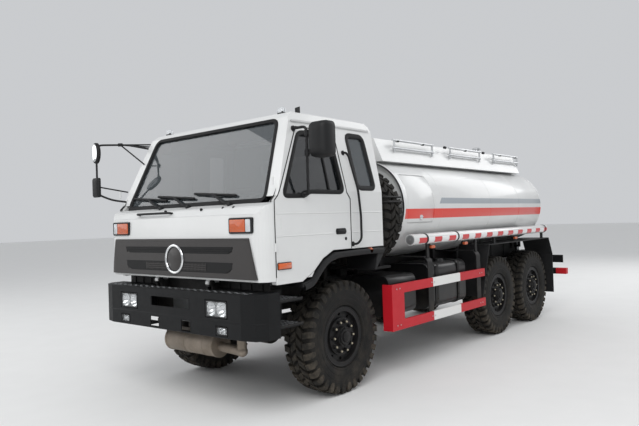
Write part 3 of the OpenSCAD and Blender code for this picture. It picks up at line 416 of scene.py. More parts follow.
def oblong(u0, u1, v0, v1):
    return [(u0, v0), (u1, v0), (u1, v1), (u0, v1)]


def block(low, high):
    return prism(oblong(low[0], high[0], low[1], high[1]), "z", low[2], high[2])


def ring_frame(outer, inner, axis, low, high):
    """Frame between two outlines with as many points each."""
    points = [PLACES[axis](u, v, height) for height in (low, high) for outline in (outer, inner) for u, v in outline]
    n = len(outer)
    faces = []
    for i in range(n):
        j = (i + 1) % n
        faces += [(i, j, j + n, i + n), (i + 2 * n, i + 3 * n, j + 3 * n, j + 2 * n),
                  (i, i + 2 * n, j + 2 * n, j), (i + n, j + n, j + 3 * n, i + 3 * n)]
    return points, faces


def loft(loops, closed=True, caps=True):
    """Skin over loops that have as many points each."""
    points = [p for loop in loops for p in loop]
    n = len(loops[0])
    faces = []
    for k in range(len(loops) - 1):
        for i in range(n if closed else n - 1):
            j = (i + 1) % n
            faces.append((k * n + i, k * n + j, (k + 1) * n + j, (k + 1) * n + i))
    if caps:
        faces += [tuple(range(n)), tuple(range((len(loops) - 1) * n, len(loops) * n))]
    return points, faces


def smooth_path(points, steps=6):
    """Catmull-Rom curve through the points."""
    pts = [Vector(p) for p in points]
    pts = [2 * pts[0] - pts[1]] + pts + [2 * pts[-1] - pts[-2]]
    path = []
    for i in range(1, len(pts) - 2):
        p0, p1, p2, p3 = pts[i - 1:i + 3]
        for k in range(steps):
            t = k / steps
            path.append(0.5 * (2 * p1 + (p2 - p0) * t + (2 * p0 - 5 * p1 + 4 * p2 - p3) * t * t
                               + (3 * p1 - p0 - 3 * p2 + p3) * t ** 3))
    path.append(pts[-2])
    return path


def rounded(a, b, c, radius, steps):
    """Round corner at b, between the runs from a and to c."""
    back = min(radius, (a - b).length * 0.45, (c - b).length * 0.45)
    start = b + (a - b).normalized() * back
    end = b + (c - b).normalized() * back
    return [(1 - t) ** 2 * start + 2 * t * (1 - t) * b + t * t * end for t in (k / steps for k in range(steps + 1))]


def corner_path(points, radius, steps):
    """Straight runs joined by round corners."""
    pts = [Vector(p) for p in points]
    path = [pts[0]]
    for a, b, c in zip(pts, pts[1:], pts[2:]):
        path += rounded(a, b, c, radius, steps)
    return path + [pts[-1]]


def soft_corners(corners, radius, steps):
    """Closed outline with round corners."""
    pts = [Vector(p) for p in corners]
    return [tuple(p) for a, b, c in zip(pts[-1:] + pts, pts, pts[1:] + pts[:1]) for p in rounded(a, b, c, radius, steps)]


def tube(path, radius, sides=12):
    """Round bar along a path, turned without twist."""
    path = [Vector(p) for p in path]
    loops = []
    ahead = (path[1] - path[0]).normalized()
    side = ahead.orthogonal().normalized()
    for i, p in enumerate(path):
        here = (path[min(i + 1, len(path) - 1)] - path[max(i - 1, 0)]).normalized()
        side = (ahead.rotation_difference(here) @ side).normalized()
        ahead = here
        other = ahead.cross(side)
        loops.append([p + radius * (math.cos(a) * side + math.sin(a) * other)
                      for a in (2 * math.pi * k / sides for k in range(sides))])
    return loft(loops)


def turn_axes(axis):
    axis = Vector(axis).normalized()
    u = axis.orthogonal().normalized()
    return u, axis.cross(u), axis


def lathe(profile, centre, axis, sides=48, closed=False):
    """Round shape: the profile is (radius, distance along the axis)."""
    u, v, w = turn_axes(axis)
    centre = Vector(centre)
    points = []
    for k in range(sides):
        a = 2 * math.pi * k / sides
        out = math.cos(a) * u + math.sin(a) * v
        points += [centre + r * out + t * w for r, t in profile]
    n = len(profile)
    faces = []
    for k in range(sides):
        j = (k + 1) % sides
        for i in range(n if closed else n - 1):
            m = (i + 1) % n
            faces.append((k * n + i, j * n + i, j * n + m, k * n + m))
    if not closed:
        faces += [tuple(k * n for k in range(sides)), tuple(k * n + n - 1 for k in range(sides))]
    return points, faces


def hexagon(spot, axis, rows):
    """Six-sided head. The rows are (width to a corner, distance along the axis)."""
    u, v, w = turn_axes(axis)
    return loft([[spot + r * (math.cos(math.radians(60 * k)) * u + math.sin(math.radians(60 * k)) * v) + t * w
                  for k in range(6)] for r, t in rows])


def bolt_head(centre, axis, radius, height):
    """Hexagon head on a washer."""
    centre = Vector(centre)
    head = hexagon(centre, axis, ((radius, 0.0), (radius, height * 0.75), (radius * 0.82, height)))
    return [head, lathe([(radius * 1.25, -0.001), (radius * 1.25, 0.002)], centre, axis, 16)]


def round_outline(width, height, radius, steps=6, centre=(0, 0)):
    points = []
    for sx, sy, start in ((1, 1, 0), (-1, 1, 90), (-1, -1, 180), (1, -1, 270)):
        for k in range(steps + 1):
            a = math.radians(start + 90 * k / steps)
            points.append((centre[0] + sx * (width / 2 - radius) + radius * math.cos(a),
                           centre[1] + sy * (height / 2 - radius) + radius * math.sin(a)))
    return points


def beside(line, before, after, distance):
    """Points moved square to the run from the point before each to the point after it."""
    result = []
    for p, a, c in zip(line, before, after):
        along = (Vector(c) - Vector(a)).normalized()
        result.append((p[0] - along.y * distance, p[1] + along.x * distance))
    return result


def moved_in(outline, distance):
    """Closed outline moved inwards by a distance, point by point."""
    n = len(outline)
    area = sum(outline[i - 1][0] * outline[i][1] - outline[i][0] * outline[i - 1][1] for i in range(n))
    return beside(outline, outline[-1:] + outline[:-1], outline[1:] + outline[:1], distance if area > 0 else -distance)


def shifted(line, distance):
    """Open line moved sideways."""
    return beside(line, line[:1] + line[:-1], line[1:] + line[-1:], distance)


def upright(outline, y):
    """Outline (x, z) as points at a depth."""
    return [Vector((x, y, z)) for x, z in outline]


def span(side, near, far):
    """Both ends of a run on one side of the truck, the low end first."""
    return sorted((side * near, side * far))


# ---------- CAD nodes that stay, with better surfaces and softened edges ----------
KEPT = {
    "chassis_frame": ("frame_black", 0.0), "front_axle": ("axle_black", 0.004), "rear_axles": ("axle_black", 0.004),
    "leaf_springs": ("frame_black", 0.002), "driveline": ("axle_black", 0.006), "engine": ("engine_metal", 0.02),
    "silencer": ("exhaust_metal", 0.004), "fuel_tank": ("tank_black", 0.004), "side_boxes": ("tank_black", 0.012),
    "front_bumper": ("bumper_black", 0.006), "cab_steps": ("bumper_black", 0.003), "air_intake": ("black_plastic", 0.01),
    "spare_rim": ("plain_white", 0.003), "spare_carrier": ("frame_black", 0.004), "tank_shell": ("tank_white", 0.008),
    "tank_cradle": ("frame_black", 0.003), "top_deck": ("plain_white", 0.006), "tank_rails": ("rail_metal", 0.0),
    "rear_ladder": ("rail_metal", 0.0), "outlet": ("rail_metal", 0.002), "front_lid": ("rail_metal", 0.003),
    "rear_lid": ("rail_metal", 0.003), "cabinet_door": ("tank_white", 0.002), "side_tubes": ("plain_white", 0.004),
    "side_guards": ("guard_red", 0.003), "rear_mudguards": ("black_plastic", 0.003), "rear_bumper": ("rear_bar", 0.004),
    "left_knuckle": ("axle_black", 0.003), "right_knuckle": ("axle_black", 0.003), "tie_rod": ("axle_black", 0.003),
    "cab_shell": ("cab_white", 0.012), "cab_glass": ("glass", 0.0), "grille": ("grille_grey", 0.003),
    "dashboard": ("black_plastic", 0.02), "steering_wheel": ("black_plastic", 0.0),
    "cab_fenders": ("black_plastic", 0.006),
    "left_door": ("cab_white", 0.006), "right_door": ("cab_white", 0.006),
    "left_door_glass": ("dark_glass", 0.0), "right_door_glass": ("dark_glass", 0.0),
}
WHEELS = [place + "_" + side for place in ("front", "middle", "rear") for side in SIDES]
for wheel in WHEELS:
    KEPT[wheel + "_rim"] = ("wheel_black", 0.002)


def dress(node, material, width):
    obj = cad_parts[node]
    obj.data.materials.clear()
    obj.data.materials.append(M[material])
    if width:
        weld = obj.modifiers.new("weld", "WELD")
        weld.merge_threshold = 0.0002
        soften(obj, width, 25)


for node, (material, width) in KEPT.items():
    dress(node, material, width)


# ---------- floor and light ----------
def add_stage():
    mesh = bpy.data.meshes.new("floor")
    reach = 80
    mesh.from_pydata([(-reach, -reach, 0), (reach, -reach, 0), (reach, reach, 0), (-reach, reach, 0)], [], [(0, 1, 2, 3)])
    mesh.materials.append(surface("floor_pale", (0.82, 0.82, 0.81), 0.8, blotch=0.01, bump=0.02))
    floor = bpy.data.objects.new("floor", mesh)
    bpy.context.collection.objects.link(floor)
    world = bpy.data.worlds.new("studio")
    bpy.context.scene.world = world
    world.use_nodes = True
    back = world.node_tree.nodes["Background"]
    back.inputs["Color"].default_value = (0.95, 0.97, 1.0, 1)
    back.inputs["Strength"].default_value = 0.62
    for name, place, aim, size, power in (
        ("key", (6, -10, 9), (0, -1, 1), 7, 760),
        ("fill", (-9, -9, 6), (0, -1, 1), 8, 260),
        ("back", (4, 11, 8), (0, 1, 1), 8, 420),
    ):
        light = bpy.data.lights.new(name, "AREA")
        light.energy = power
        light.size = size
        lamp = bpy.data.objects.new(name, light)
        lamp.location = place
        lamp.rotation_euler = (Vector(aim) - Vector(place)).to_track_quat("-Z", "Y").to_euler()
        bpy.context.collection.objects.link(lamp)


add_stage()
bpy.context.scene.view_settings.view_transform = "Standard"


# ---------- tyres ----------
BEAD_R = 0.2895
PITCHES = 34                                     # tread blocks round the tyre, in each row


def tread_radius(w):
    """Radius of the tread at a distance from the middle: a slightly round crown."""
    return TYRE_R - 0.010 * (w / TYRE_HALF_W) ** 2 - 0.0005


def lug(start, span, lean, w0, w1, side, floor_depth, wraps):
    """Tread block between two distances from the middle. Angles are in degrees round the tyre; lean is the slant."""
    steps = 4
    rows = []
    for k in range(steps + 1):
        w = w0 + (w1 - w0) * k / steps
        shift = lean * (w - w0) / (w1 - w0)
        rows.append((w, start + shift, start + shift + span, tread_radius(w)))
    if wraps:
        w, a0, a1, r = rows[-1]
        rows.append((TYRE_HALF_W - 0.001, a0, a1, r - 0.022))
        rows.append((TYRE_HALF_W - 0.004, a0 + span * 0.15, a1 - span * 0.15, r - 0.075))
    loops = []
    for w, a0, a1, r in rows:
        deep = r - floor_depth
        foot = (w - (0.008 if r < TYRE_R - 0.03 else 0)) * side
        loops.append([(r, a0, w * side), (r, a1, w * side), (deep, a1 + 0.25, foot), (deep, a0 - 0.25, foot)])
    return loops


def tyre_shapes(centre, axis):
    """Carcass with ribs on the sidewalls, and a tread of slanted blocks."""
    u, v, w_axis = turn_axes(axis)
    centre = Vector(centre)

    def at(r, angle, w):
        a = math.radians(angle)
        return centre + r * (math.cos(a) * u + math.sin(a) * v) + w * w_axis

    half = TYRE_HALF_W
    # how far out from the bead, and how far in from the widest place
    rises = [(-0.033, 0.048), (0, 0.047), (0.010, 0.020), (0.022, 0.013), (0.028, 0.016), (0.050, 0.006), (0.075, 0.0015),
             (0.079, 0.004), (0.10, 0.002), (0.125, 0.003), (0.129, 0.0055), (0.15, 0.006), (0.19, 0.010), (0.212, 0.022),
             (0.222, 0.045)]
    side_profile = [(BEAD_R + rise, half - inward) for rise, inward in rises]
    profile = side_profile + [(r, -w) for r, w in reversed(side_profile)]
    carcass = [lathe(profile, centre, axis, 96, closed=True)]
    shapes = []
    pitch = 360 / PITCHES
    for k in range(PITCHES):
        for side in (1, -1):
            turn = k * pitch + (pitch / 2 if side < 0 else 0)
            inner = lug(turn, pitch * 0.64, pitch * 0.55, 0.004, 0.066, side, 0.036, False)
            outer = lug(turn + pitch * 0.62, pitch * 0.58, -pitch * 0.18, 0.078, half - 0.014, side, 0.038, True)
            for loops in (inner, outer):
                shapes.append(loft([[at(*p) for p in loop] for loop in loops]))
    return carcass, shapes


def add_tyres():
    spots = [(wheel + "_tyre", wheel + "_wheel", (1, 0, 0)) for wheel in WHEELS] + [("spare_tyre", "chassis", (0, 1, 0))]
    for node, body, axis in spots:
        carcass, blocks = tyre_shapes(middle(node), axis)
        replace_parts(piece(node + "_carcass", carcass, "tyre", body, angle=28), node)
        piece(node + "_tread", blocks, "tyre_tread", body, "tyre", angle=28)


# ---------- wheel nuts and hub trim ----------
STUD_RADIUS = 0.142875
STUDS = 10


def add_wheel_trim():
    for wheel in WHEELS:
        side = SIDES[wheel.split("_")[1]]
        hub = middle(wheel + "_tyre")
        axis = Vector((side, 0, 0))
        nuts, tips = [], []
        for k in range(STUDS):
            a = math.radians((k + 0.5) * 360 / STUDS)
            spot = hub + Vector((side * 0.107, STUD_RADIUS * math.sin(a), STUD_RADIUS * math.cos(a)))
            nuts.append(hexagon(spot, axis, ((0.0205, 0), (0.0205, 0.020), (0.0170, 0.0285))))
            tip = [(0.0, 0.02), (0.0105, 0.02), (0.0105, 0.037), (0.008, 0.040), (0.0, 0.040)]
            tips.append(lathe(tip, spot, axis, 14))
        for k in range(8):
            a = math.radians(k * 45)
            spot = hub + Vector((side * 0.146, 0.083 * math.sin(a), 0.083 * math.cos(a)))
            nuts += bolt_head(spot, axis, 0.0085, 0.007)
        cap = [(0.0, 0.162), (0.045, 0.162), (0.052, 0.166), (0.050, 0.174), (0.030, 0.184), (0.0, 0.187)]
        nuts.append(lathe(cap, hub, axis, 32))
        rim_lip = [(0.262, 0.112), (0.284, 0.116), (0.2885, 0.121), (0.2885, 0.1275), (0.283, 0.131), (0.276, 0.129),
                   (0.268, 0.123), (0.2555, 0.119)]
        nuts.append(lathe(rim_lip, hub, axis, 72, closed=True))
        piece(wheel + "_hub_trim", nuts, "wheel_black", wheel + "_wheel", angle=30)
        piece(wheel + "_stud_tips", tips, "nut_metal", wheel + "_wheel", "wheel_black")


# ---------- surfaces of the cab ----------
def cab_side_x(z):
    t = max(0.0, min(1.0, (z - TAPER_LOW_Z) / (TAPER_HIGH_Z - TAPER_LOW_Z)))
    return CAB_HALF + (ROOF_HALF - CAB_HALF) * t


def cab_front_y(x, z):
    for (z0, y0), (z1, y1) in zip(FRONT_PROFILE, FRONT_PROFILE[1:]):
        if z <= z1:
            break
    y = CAB_FRONT_Y + y0 + (y1 - y0) * max(0.0, (z - z0) / (z1 - z0))
    past = abs(x) - (CAB_HALF - CORNER_R)
    if past > 0:
        y = max(y, CAB_FRONT_Y + CORNER_R - math.sqrt(max(0.0, CORNER_R ** 2 - min(past, CORNER_R) ** 2)))
    return y


def on_side(outline, out=0.0, side=1):
    """Points (y, z) laid on the cab's side, moved out by a distance."""
    return [Vector((side * (cab_side_x(z) + out), y, z)) for y, z in outline]


def side_placer(side):
    return lambda outline, out: on_side(outline, out, side)


def on_front(outline, out=0.0):
    """Points (x, z) laid on the cab's front, moved out by a distance."""
    return [Vector((x, cab_front_y(x, z) - out, z)) for x, z in outline]


def densify(outline, step=0.05, closed=True):
    """Line with points added, so that it can follow a curved surface."""
    points = []
    for a, b in zip(outline, outline[1:] + (outline[:1] if closed else [])):
        a, b = Vector(a), Vector(b)
        count = max(1, int((b - a).length / step))
        points += [tuple(a + (b - a) * k / count) for k in range(count)]
    if not closed:
        points.append(tuple(outline[-1]))
    return points


def strip(rails, closed=True):
    """Skin over rows of points that run side by side, without ends."""
    return loft(rails, closed, caps=False)


def seal(outline, place, width, height, depth, grow):
    """Rubber seal round a window: a rounded section that follows the outline."""
    outline = densify(soft_corners(outline, 0.07, 6), 0.06)
    section = [(-grow, -depth), (-grow - width * 0.05, height * 0.5), (-grow + width * 0.18, height),
               (-grow + width * 0.5, height * 0.55), (-grow + width * 0.8, height * 0.8), (-grow + width, height * 0.1),
               (-grow + width, -depth)]
    rows = [place(moved_in(outline, inward), out) for inward, out in section]
    return strip(rows + rows[:1])


def groove(points, place, width, height):
    """Pressed crease or seam: a thin low ridge laid on a surface."""
    line = densify(points, 0.05, False)
    section = ((-width / 2, -0.003), (-width / 4, height), (width / 4, height), (width / 2, -0.003))
    return strip([place(shifted(line, shift), out) for shift, out in section], False)


# ---------- cab trim ----------
SCREEN = [(-1.02, 1.85), (1.02, 1.85), (0.905, 2.57), (-0.905, 2.57)]
DOOR_SEAL = [(FA - 0.90, 1.876), (FA - 0.62, 1.880), (FA - 0.56, 1.917), (FA - 0.072, 1.918), (FA - 0.128, 2.458),
             (FA - 0.583, 2.458)]
QUARTER = [(FA + 0.16, 1.96), (FA + 0.445, 1.96), (FA + 0.385, 2.49), (FA + 0.11, 2.49)]


def add_window_seals():
    piece("windscreen_seal", [seal(SCREEN, on_front, 0.036, 0.012, 0.03, 0.018)], "rubber", "cab", "black_plastic",
          angle=60)
    for side_name, side in SIDES.items():
        place = side_placer(side)
        piece(side_name + "_quarter_seal", [seal(QUARTER, place, 0.045, 0.008, 0.03, 0.018)], "rubber", "cab",
              "black_plastic", angle=60)
        piece(side_name + "_window_seal", [seal(DOOR_SEAL, place, 0.038, 0.006, 0.02, 0.016)], "rubber",
              side_name + "_door", "black_plastic", angle=60)
        # sash between the fixed pane in front and the sliding pane
        post = [on_side([(FA - 0.27, 1.925), (FA - 0.25, 1.925), (FA - 0.275, 2.45), (FA - 0.295, 2.45)], out, side)
                for out in (-0.026, -0.012)]
        piece(side_name + "_window_sash", [loft(post)], "rubber", side_name + "_door", "black_plastic", bevel=0.002)


def glass_point(x, z, out):
    return on_front([(x, z)], out)[0]


def wiper(pivot_x, pivot_z, reach_x, reach_z, blade):
    """Arm from its pivot on the scuttle to the middle of a blade that lies on the glass."""
    start = glass_point(pivot_x, pivot_z, 0.012)
    mid = glass_point(pivot_x + reach_x * 0.25, pivot_z + reach_z * 0.25, 0.055)
    end = glass_point(pivot_x + reach_x, pivot_z + reach_z, 0.026)
    shapes = [tube(smooth_path([start, mid, end]), 0.011, 8)]
    shapes.append(lathe([(0.024, -0.016), (0.024, 0.014), (0.015, 0.026)], start, (0, -1, 0.35), 16))
    along = Vector((blade[0], 0, blade[1])).normalized()
    half = math.hypot(*blade) / 2
    rubber = []
    for k in range(9):
        t = (k / 8 * 2 - 1) * half
        x, z = pivot_x + reach_x + along.x * t, pivot_z + reach_z + along.z * t
        rubber.append(glass_point(x, z, 0.004 + 0.012 * (1 - abs(t) / half)))
    shapes.append(tube(rubber, 0.012, 8))
    return shapes


def add_wipers():
    shapes = []
    for pivot in (-0.39, 0.04, 0.63):
        shapes += wiper(pivot, 1.826, -0.29, 0.105, (-0.60, 0.045))
    piece("wipers", shapes, "black_plastic", "cab", angle=40)


def add_front_trim():
    # pressed creases of the front panel
    shapes = [groove([(-1.10, z), (1.10, z)], on_front, 0.012, 0.0025) for z in (1.735, 1.795)]
    piece("front_creases", shapes, "plain_white", "cab", "cab_white", angle=60)
    # handle bar below the windscreen, hose nozzles and hatch bumpers
    bar = on_front([(-0.62, 1.772), (-0.60, 1.772), (-0.12, 1.772), (-0.10, 1.772)], 0.0)
    away = Vector((0, -0.045, 0.006))
    path = corner_path([bar[0], bar[0] + away, bar[-1] + away, bar[-1]], 0.02, 5)
    shapes = [tube(path, 0.011, 12)]
    for x in (-0.22, 0.32):
        spot = glass_point(x, 1.79, 0.0)
        shapes.append(lathe([(0.014, -0.01), (0.014, 0.008), (0.006, 0.020)], spot, (0, -0.8, 0.6), 14))
    for x in (0.60, 0.74):
        shapes += bolt_head(glass_point(x, 1.80, 0.0), (0, -0.7, 0.7), 0.010, 0.006)
    piece("scuttle_trim", shapes, "black_plastic", "cab", angle=40)


GRILLE_OUT = 0.0145                              # how far the grille stands out of the cab's front


def add_grille():
    y_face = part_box("grille")[0][1]
    # chamfered inserts and a louvred mesh
    upper = [(-0.80, 1.462), (0.80, 1.462), (0.80, 1.432), (0.74, 1.402), (-0.74, 1.402), (-0.80, 1.432)]
    lower = [(-0.795, 1.328), (0.795, 1.328), (0.795, 1.275), (0.715, 1.236), (-0.715, 1.236), (-0.795, 1.275)]
    shapes = [prism(o, "y", y_face - 0.0015, y_face + 0.016) for o in (upper, lower)]
    for z in (1.424, 1.441):
        shapes.append(prism(oblong(-0.785, 0.785, z - 0.002, z + 0.002), "y", y_face - 0.004, y_face + 0.012))
    piece("grille_inserts", shapes, "rubber", "cab", "black_plastic", bevel=0.0015)
    bars = []
    count = 46
    for k in range(count):
        x = -0.45 + 0.9 * k / (count - 1)
        bars.append(prism(oblong(x - 0.004, x + 0.004, 1.318, 1.246), "y", y_face - 0.004, y_face + 0.012))
    for z in (1.264, 1.282, 1.300):
        bars.append(prism(oblong(-0.455, 0.455, z - 0.003, z + 0.003), "y", y_face - 0.006, y_face + 0.012))
    piece("grille_louvres", bars, "grille_grey", "cab")
    # plain ring on a low round boss
    centre = Vector((0, y_face, 1.348))
    turns = [2 * math.pi * k / 14 for k in range(14)]
    profile = [(0.126 + 0.013 * math.cos(a), 0.006 + 0.010 * math.sin(a)) for a in turns]
    piece("grille_ring", [lathe(profile, centre, (0, -1, 0), 72, closed=True)], "chrome", "cab", "rail_metal")
    disc = lathe([(0.108, -0.012), (0.108, 0.002), (0.10, 0.006), (0.0, 0.009)], centre, (0, -1, 0), 64)
    piece("grille_disc", [disc], "grille_grey", "cab", angle=50)
    # edge of the panel
    edge = [(-1.055, 1.195), (1.055, 1.195), (0.995, 1.528), (-0.995, 1.528)]
    rows = []
    for inward, out in ((0.0, -0.004), (0.004, 0.0025), (0.012, 0.0025), (0.016, -0.004)):
        line = moved_in(densify(edge, 0.05), inward)
        rows.append([Vector((x, cab_front_y(x, z) - GRILLE_OUT - out, z)) for x, z in line])
    piece("grille_edge", [strip(rows)], "grille_grey", "cab", angle=50)


CREASE_HEIGHTS = (1.54, 1.73)


def add_cab_side_trim():
    for side_name, side in SIDES.items():
        place = side_placer(side)
        door, cab = side_name + "_door", "cab"
        # creases across the door and the panel behind it
        on_door, behind = [[groove([(y0, z), (y1, z)], place, 0.014, 0.0028) for z in CREASE_HEIGHTS]
                           for y0, y1 in ((FA - 0.985, FA + 0.005), (FA + 0.05, FA + 0.54))]
        on_door.append(groove([(FA - 0.93, 1.60), (FA - 0.93, 1.69)], place, 0.008, 0.002))
        piece(side_name + "_door_creases", on_door, "plain_white", door, "cab_white", angle=60)
        piece(side_name + "_rear_creases", behind, "plain_white", cab, "cab_white", angle=60)
        # dark gap round the door: a rubber strip along the gap, and behind it a near-black sheet in the rebate that is
        # painted shade
        gap = [(FA - 1.003, 1.20), (FA - 1.003, 1.84), (FA - 0.962, 1.88), (FA - 0.60, 2.503), (FA - 0.072, 2.503),
               (FA - 0.024, 1.92), (FA + 0.026, 1.86), (FA + 0.026, 1.39)]
        gap = densify(gap, 0.05, False)
        for kind, half, out, material in (("_door_rebate", 0.014, -0.035, "painted_gap_shade"),
                                          ("_door_gap", 0.0055, 0.0008, "rubber")):
            rows = [place(shifted(gap, shift), out) for shift in (-half, half)]
            piece(side_name + kind, [strip(rows, False)], material, cab, "black_plastic")
        # roof gutter
        rail = densify([(FA - 0.66, 2.552), (FA - 0.5, 2.556), (FA + 0.50, 2.556)], 0.06, False)
        section = [(-0.01, -0.006), (0.014, -0.006), (0.018, 0.008), (0.013, 0.009), (0.010, -0.001), (-0.012, 0.001)]
        rows = [[Vector((side * (ROOF_HALF + out), y, z + up)) for y, z in rail] for out, up in section]
        piece(side_name + "_gutter", [strip(rows + rows[:1], False)], "plain_white", cab, "cab_white", angle=30)
        # handle with its recess, lock and the marker lamp
        hy = FA - 0.131
        recess = round_outline(0.150, 0.056, 0.02, 4, (hy, 1.555))
        shapes = [loft([place(recess, -0.002), place(recess, 0.0035), place(moved_in(recess, 0.006), 0.006)])]
        grip = [place(round_outline(0.128, 0.030, 0.012, 4, (hy, 1.553)), out) for out in (0.006, 0.016)]
        grip.append(place(round_outline(0.118, 0.020, 0.009, 4, (hy, 1.553)), 0.020))
        shapes.append(loft(grip))
        lock = place([(FA - 0.06, 1.484)], 0)[0]
        shapes.append(lathe([(0.015, -0.002), (0.015, 0.004), (0.011, 0.006)], lock, (side, 0, 0), 20))
        piece(side_name + "_handle", shapes, "black_plastic", door, angle=40)
        lamp = round_outline(0.17, 0.062, 0.012, 4, (FA - 0.905, 1.292))
        piece(side_name + "_marker_base", [loft([place(lamp, -0.004), place(lamp, 0.006)])], "black_plastic", door)
        edge = moved_in(lamp, 0.006)
        dome = loft([place(edge, 0.004), place(edge, 0.012), place(moved_in(edge, 0.006), 0.0145)])
        piece(side_name + "_marker_lamp", [dome], "lamp_orange", door, bevel=0.001)
        # hinges in front of the door
        shapes = []
        for z in (1.45, 2.0):
            x = side * (cab_side_x(z) + 0.004)
            shapes.append(tube([(x, FA - 1.004, z - 0.035), (x, FA - 1.004, z + 0.035)], 0.009, 12))
        piece(side_name + "_hinge_covers", shapes, "plain_white", cab, "cab_white")
        # grab bar behind the door
        bar = [(FA + 0.02, 2.302, -0.002), (FA + 0.02, 2.302, 0.040), (FA + 0.045, 2.27, 0.045), (FA + 0.10, 1.95, 0.045),
               (FA + 0.13, 1.70, 0.045), (FA + 0.128, 1.47, 0.045), (FA + 0.06, 1.428, 0.045), (FA + 0.045, 1.428, 0.0)]
        path = [Vector((side * (cab_side_x(z) + out), y, z)) for y, z, out in bar]
        shapes = [tube(corner_path(path, 0.05, 4), 0.0115, 12)]
        for y, z, _ in (bar[0], bar[-1]):
            foot = (side * cab_side_x(z), y, z)
            shapes.append(lathe([(0.024, 0.0), (0.024, 0.005), (0.016, 0.010)], foot, (side, 0, 0), 18))
        piece(side_name + "_grab_bar", shapes, "black_plastic", cab, angle=50)
        # small lamp on the fender
        spot = Vector((side * (CAB_HALF + 0.010), FA + 0.322, 1.348))
        shapes = [lathe([(0.030, -0.02), (0.030, 0.004), (0.022, 0.012)], spot, (side, 0, 0), 24)]
        piece(side_name + "_fender_lamp", shapes, "lamp_orange", cab)


# ---------- bumper, lamps and steps ----------
BUMPER_Y = BUMPER_LOW.y
HALF_BUMPER = BUMPER_HIGH.x
REAR_LAMP_Z = 0.865
MARKER_Z = 1.318
TURN_LAMP_Z = 1.640
ROOF_LAMP_X, ROOF_LAMP_Y = 0.85, FA - 0.56


def add_bumper_trim():
    z1 = BUMPER_HIGH.z
    corner = [(HALF_BUMPER, BUMPER_Y + 0.12), (HALF_BUMPER - 0.07, BUMPER_Y + 0.034), (HALF_BUMPER - 0.20, BUMPER_Y)]
    plan = [(-x, y) for x, y in corner] + corner[::-1]
    shapes = []
    # pressed horizontal crease under the lamps and a lip along the top
    for z, up, out in ((0.838, 0.010, 0.001), (z1 - 0.004, 0.004, 0.001)):
        rows = []
        for shift, rise in ((0.004, -up), (-out, -up * 0.4), (-out, up * 0.4), (0.004, up)):
            rows.append([Vector((x, y + shift, z + rise)) for x, y in plan])
        shapes.append(strip(rows, False))
    # frame round the slot
    slot = oblong(-0.296, 0.296, 0.896, 1.022)
    shapes.append(ring_frame(soft_corners(slot, 0.02, 3), soft_corners(moved_in(slot, 0.020), 0.015, 3), "y",
                             BUMPER_Y - 0.001, BUMPER_Y + 0.004))
    for side in SIDES.values():
        tow = oblong(side * 0.165, side * 0.310, 0.706, 0.820)
        shapes.append(ring_frame(tow, moved_in(tow, 0.010), "y", BUMPER_Y - 0.001, BUMPER_Y + 0.003))
    piece("bumper_pressings", shapes, "bumper_black", "chassis", angle=50)
    # chequer pattern on the top, behind the lip
    bars = []
    for row in range(3):
        for k in range(44):
            x = -1.0 + 2.0 * k / 43
            y = BUMPER_Y + 0.035 + row * 0.028
            lean = 0.008 if (k + row) % 2 else -0.008
            slanted = [(x - 0.009, y - lean - 0.002), (x + 0.009, y + lean - 0.002), (x + 0.009, y + lean + 0.002),
                       (x - 0.009, y - lean + 0.002)]
            bars.append(prism(slanted, "z", z1 - 0.001, z1 + 0.002))
    piece("bumper_tread", bars, "rail_metal", "chassis")
    bolts = []
    for x in (-0.60, -0.42, 0.42, 0.60):
        bolts += bolt_head((x, BUMPER_Y + 0.006, 0.735), (0, -1, 0), 0.010, 0.007)
    piece("bumper_bolts", bolts, "bumper_black", "chassis")


def lamp_unit(x0, x1, z0, z1, bulbs, name):
    """Lamp with a dark case, bright reflector bowls and a clear lens, set in its hole."""
    outer = soft_corners(oblong(x0, x1, z0, z1), 0.018, 4)
    inner = moved_in(outer, 0.010)
    case = [ring_frame(outer, inner, "y", BUMPER_Y - 0.001, BUMPER_Y + 0.075),
            prism(outer, "y", BUMPER_Y + 0.070, BUMPER_Y + 0.080)]
    bowls = []
    for x, r in bulbs:
        z = (z0 + z1) / 2
        profile = [(0.010 + (r - 0.010) * math.sqrt(k / 8), -0.062 + 0.054 * k / 8) for k in range(9)]
        shell = profile + [(a + 0.002, b) for a, b in reversed(profile)]
        bowls.append(lathe(shell, (x, BUMPER_Y, z), (0, -1, 0), 40, closed=True))
        bulb = [(0.0, -0.060), (0.009, -0.060), (0.009, -0.035), (0.0, -0.028)]
        bowls.append(lathe(bulb, (x, BUMPER_Y, z), (0, -1, 0), 14))
    dome = [upright(inner, BUMPER_Y + 0.009), upright(inner, BUMPER_Y + 0.003), upright(moved_in(inner, 0.006), BUMPER_Y)]
    piece(name + "_case", case, "black_plastic", "chassis", bevel=0.0015)
    piece(name + "_reflector", bowls, "chrome", "chassis", "lamp_clear", angle=50)
    piece(name + "_lens", [loft(dome)], "lamp_clear", "chassis", angle=50)


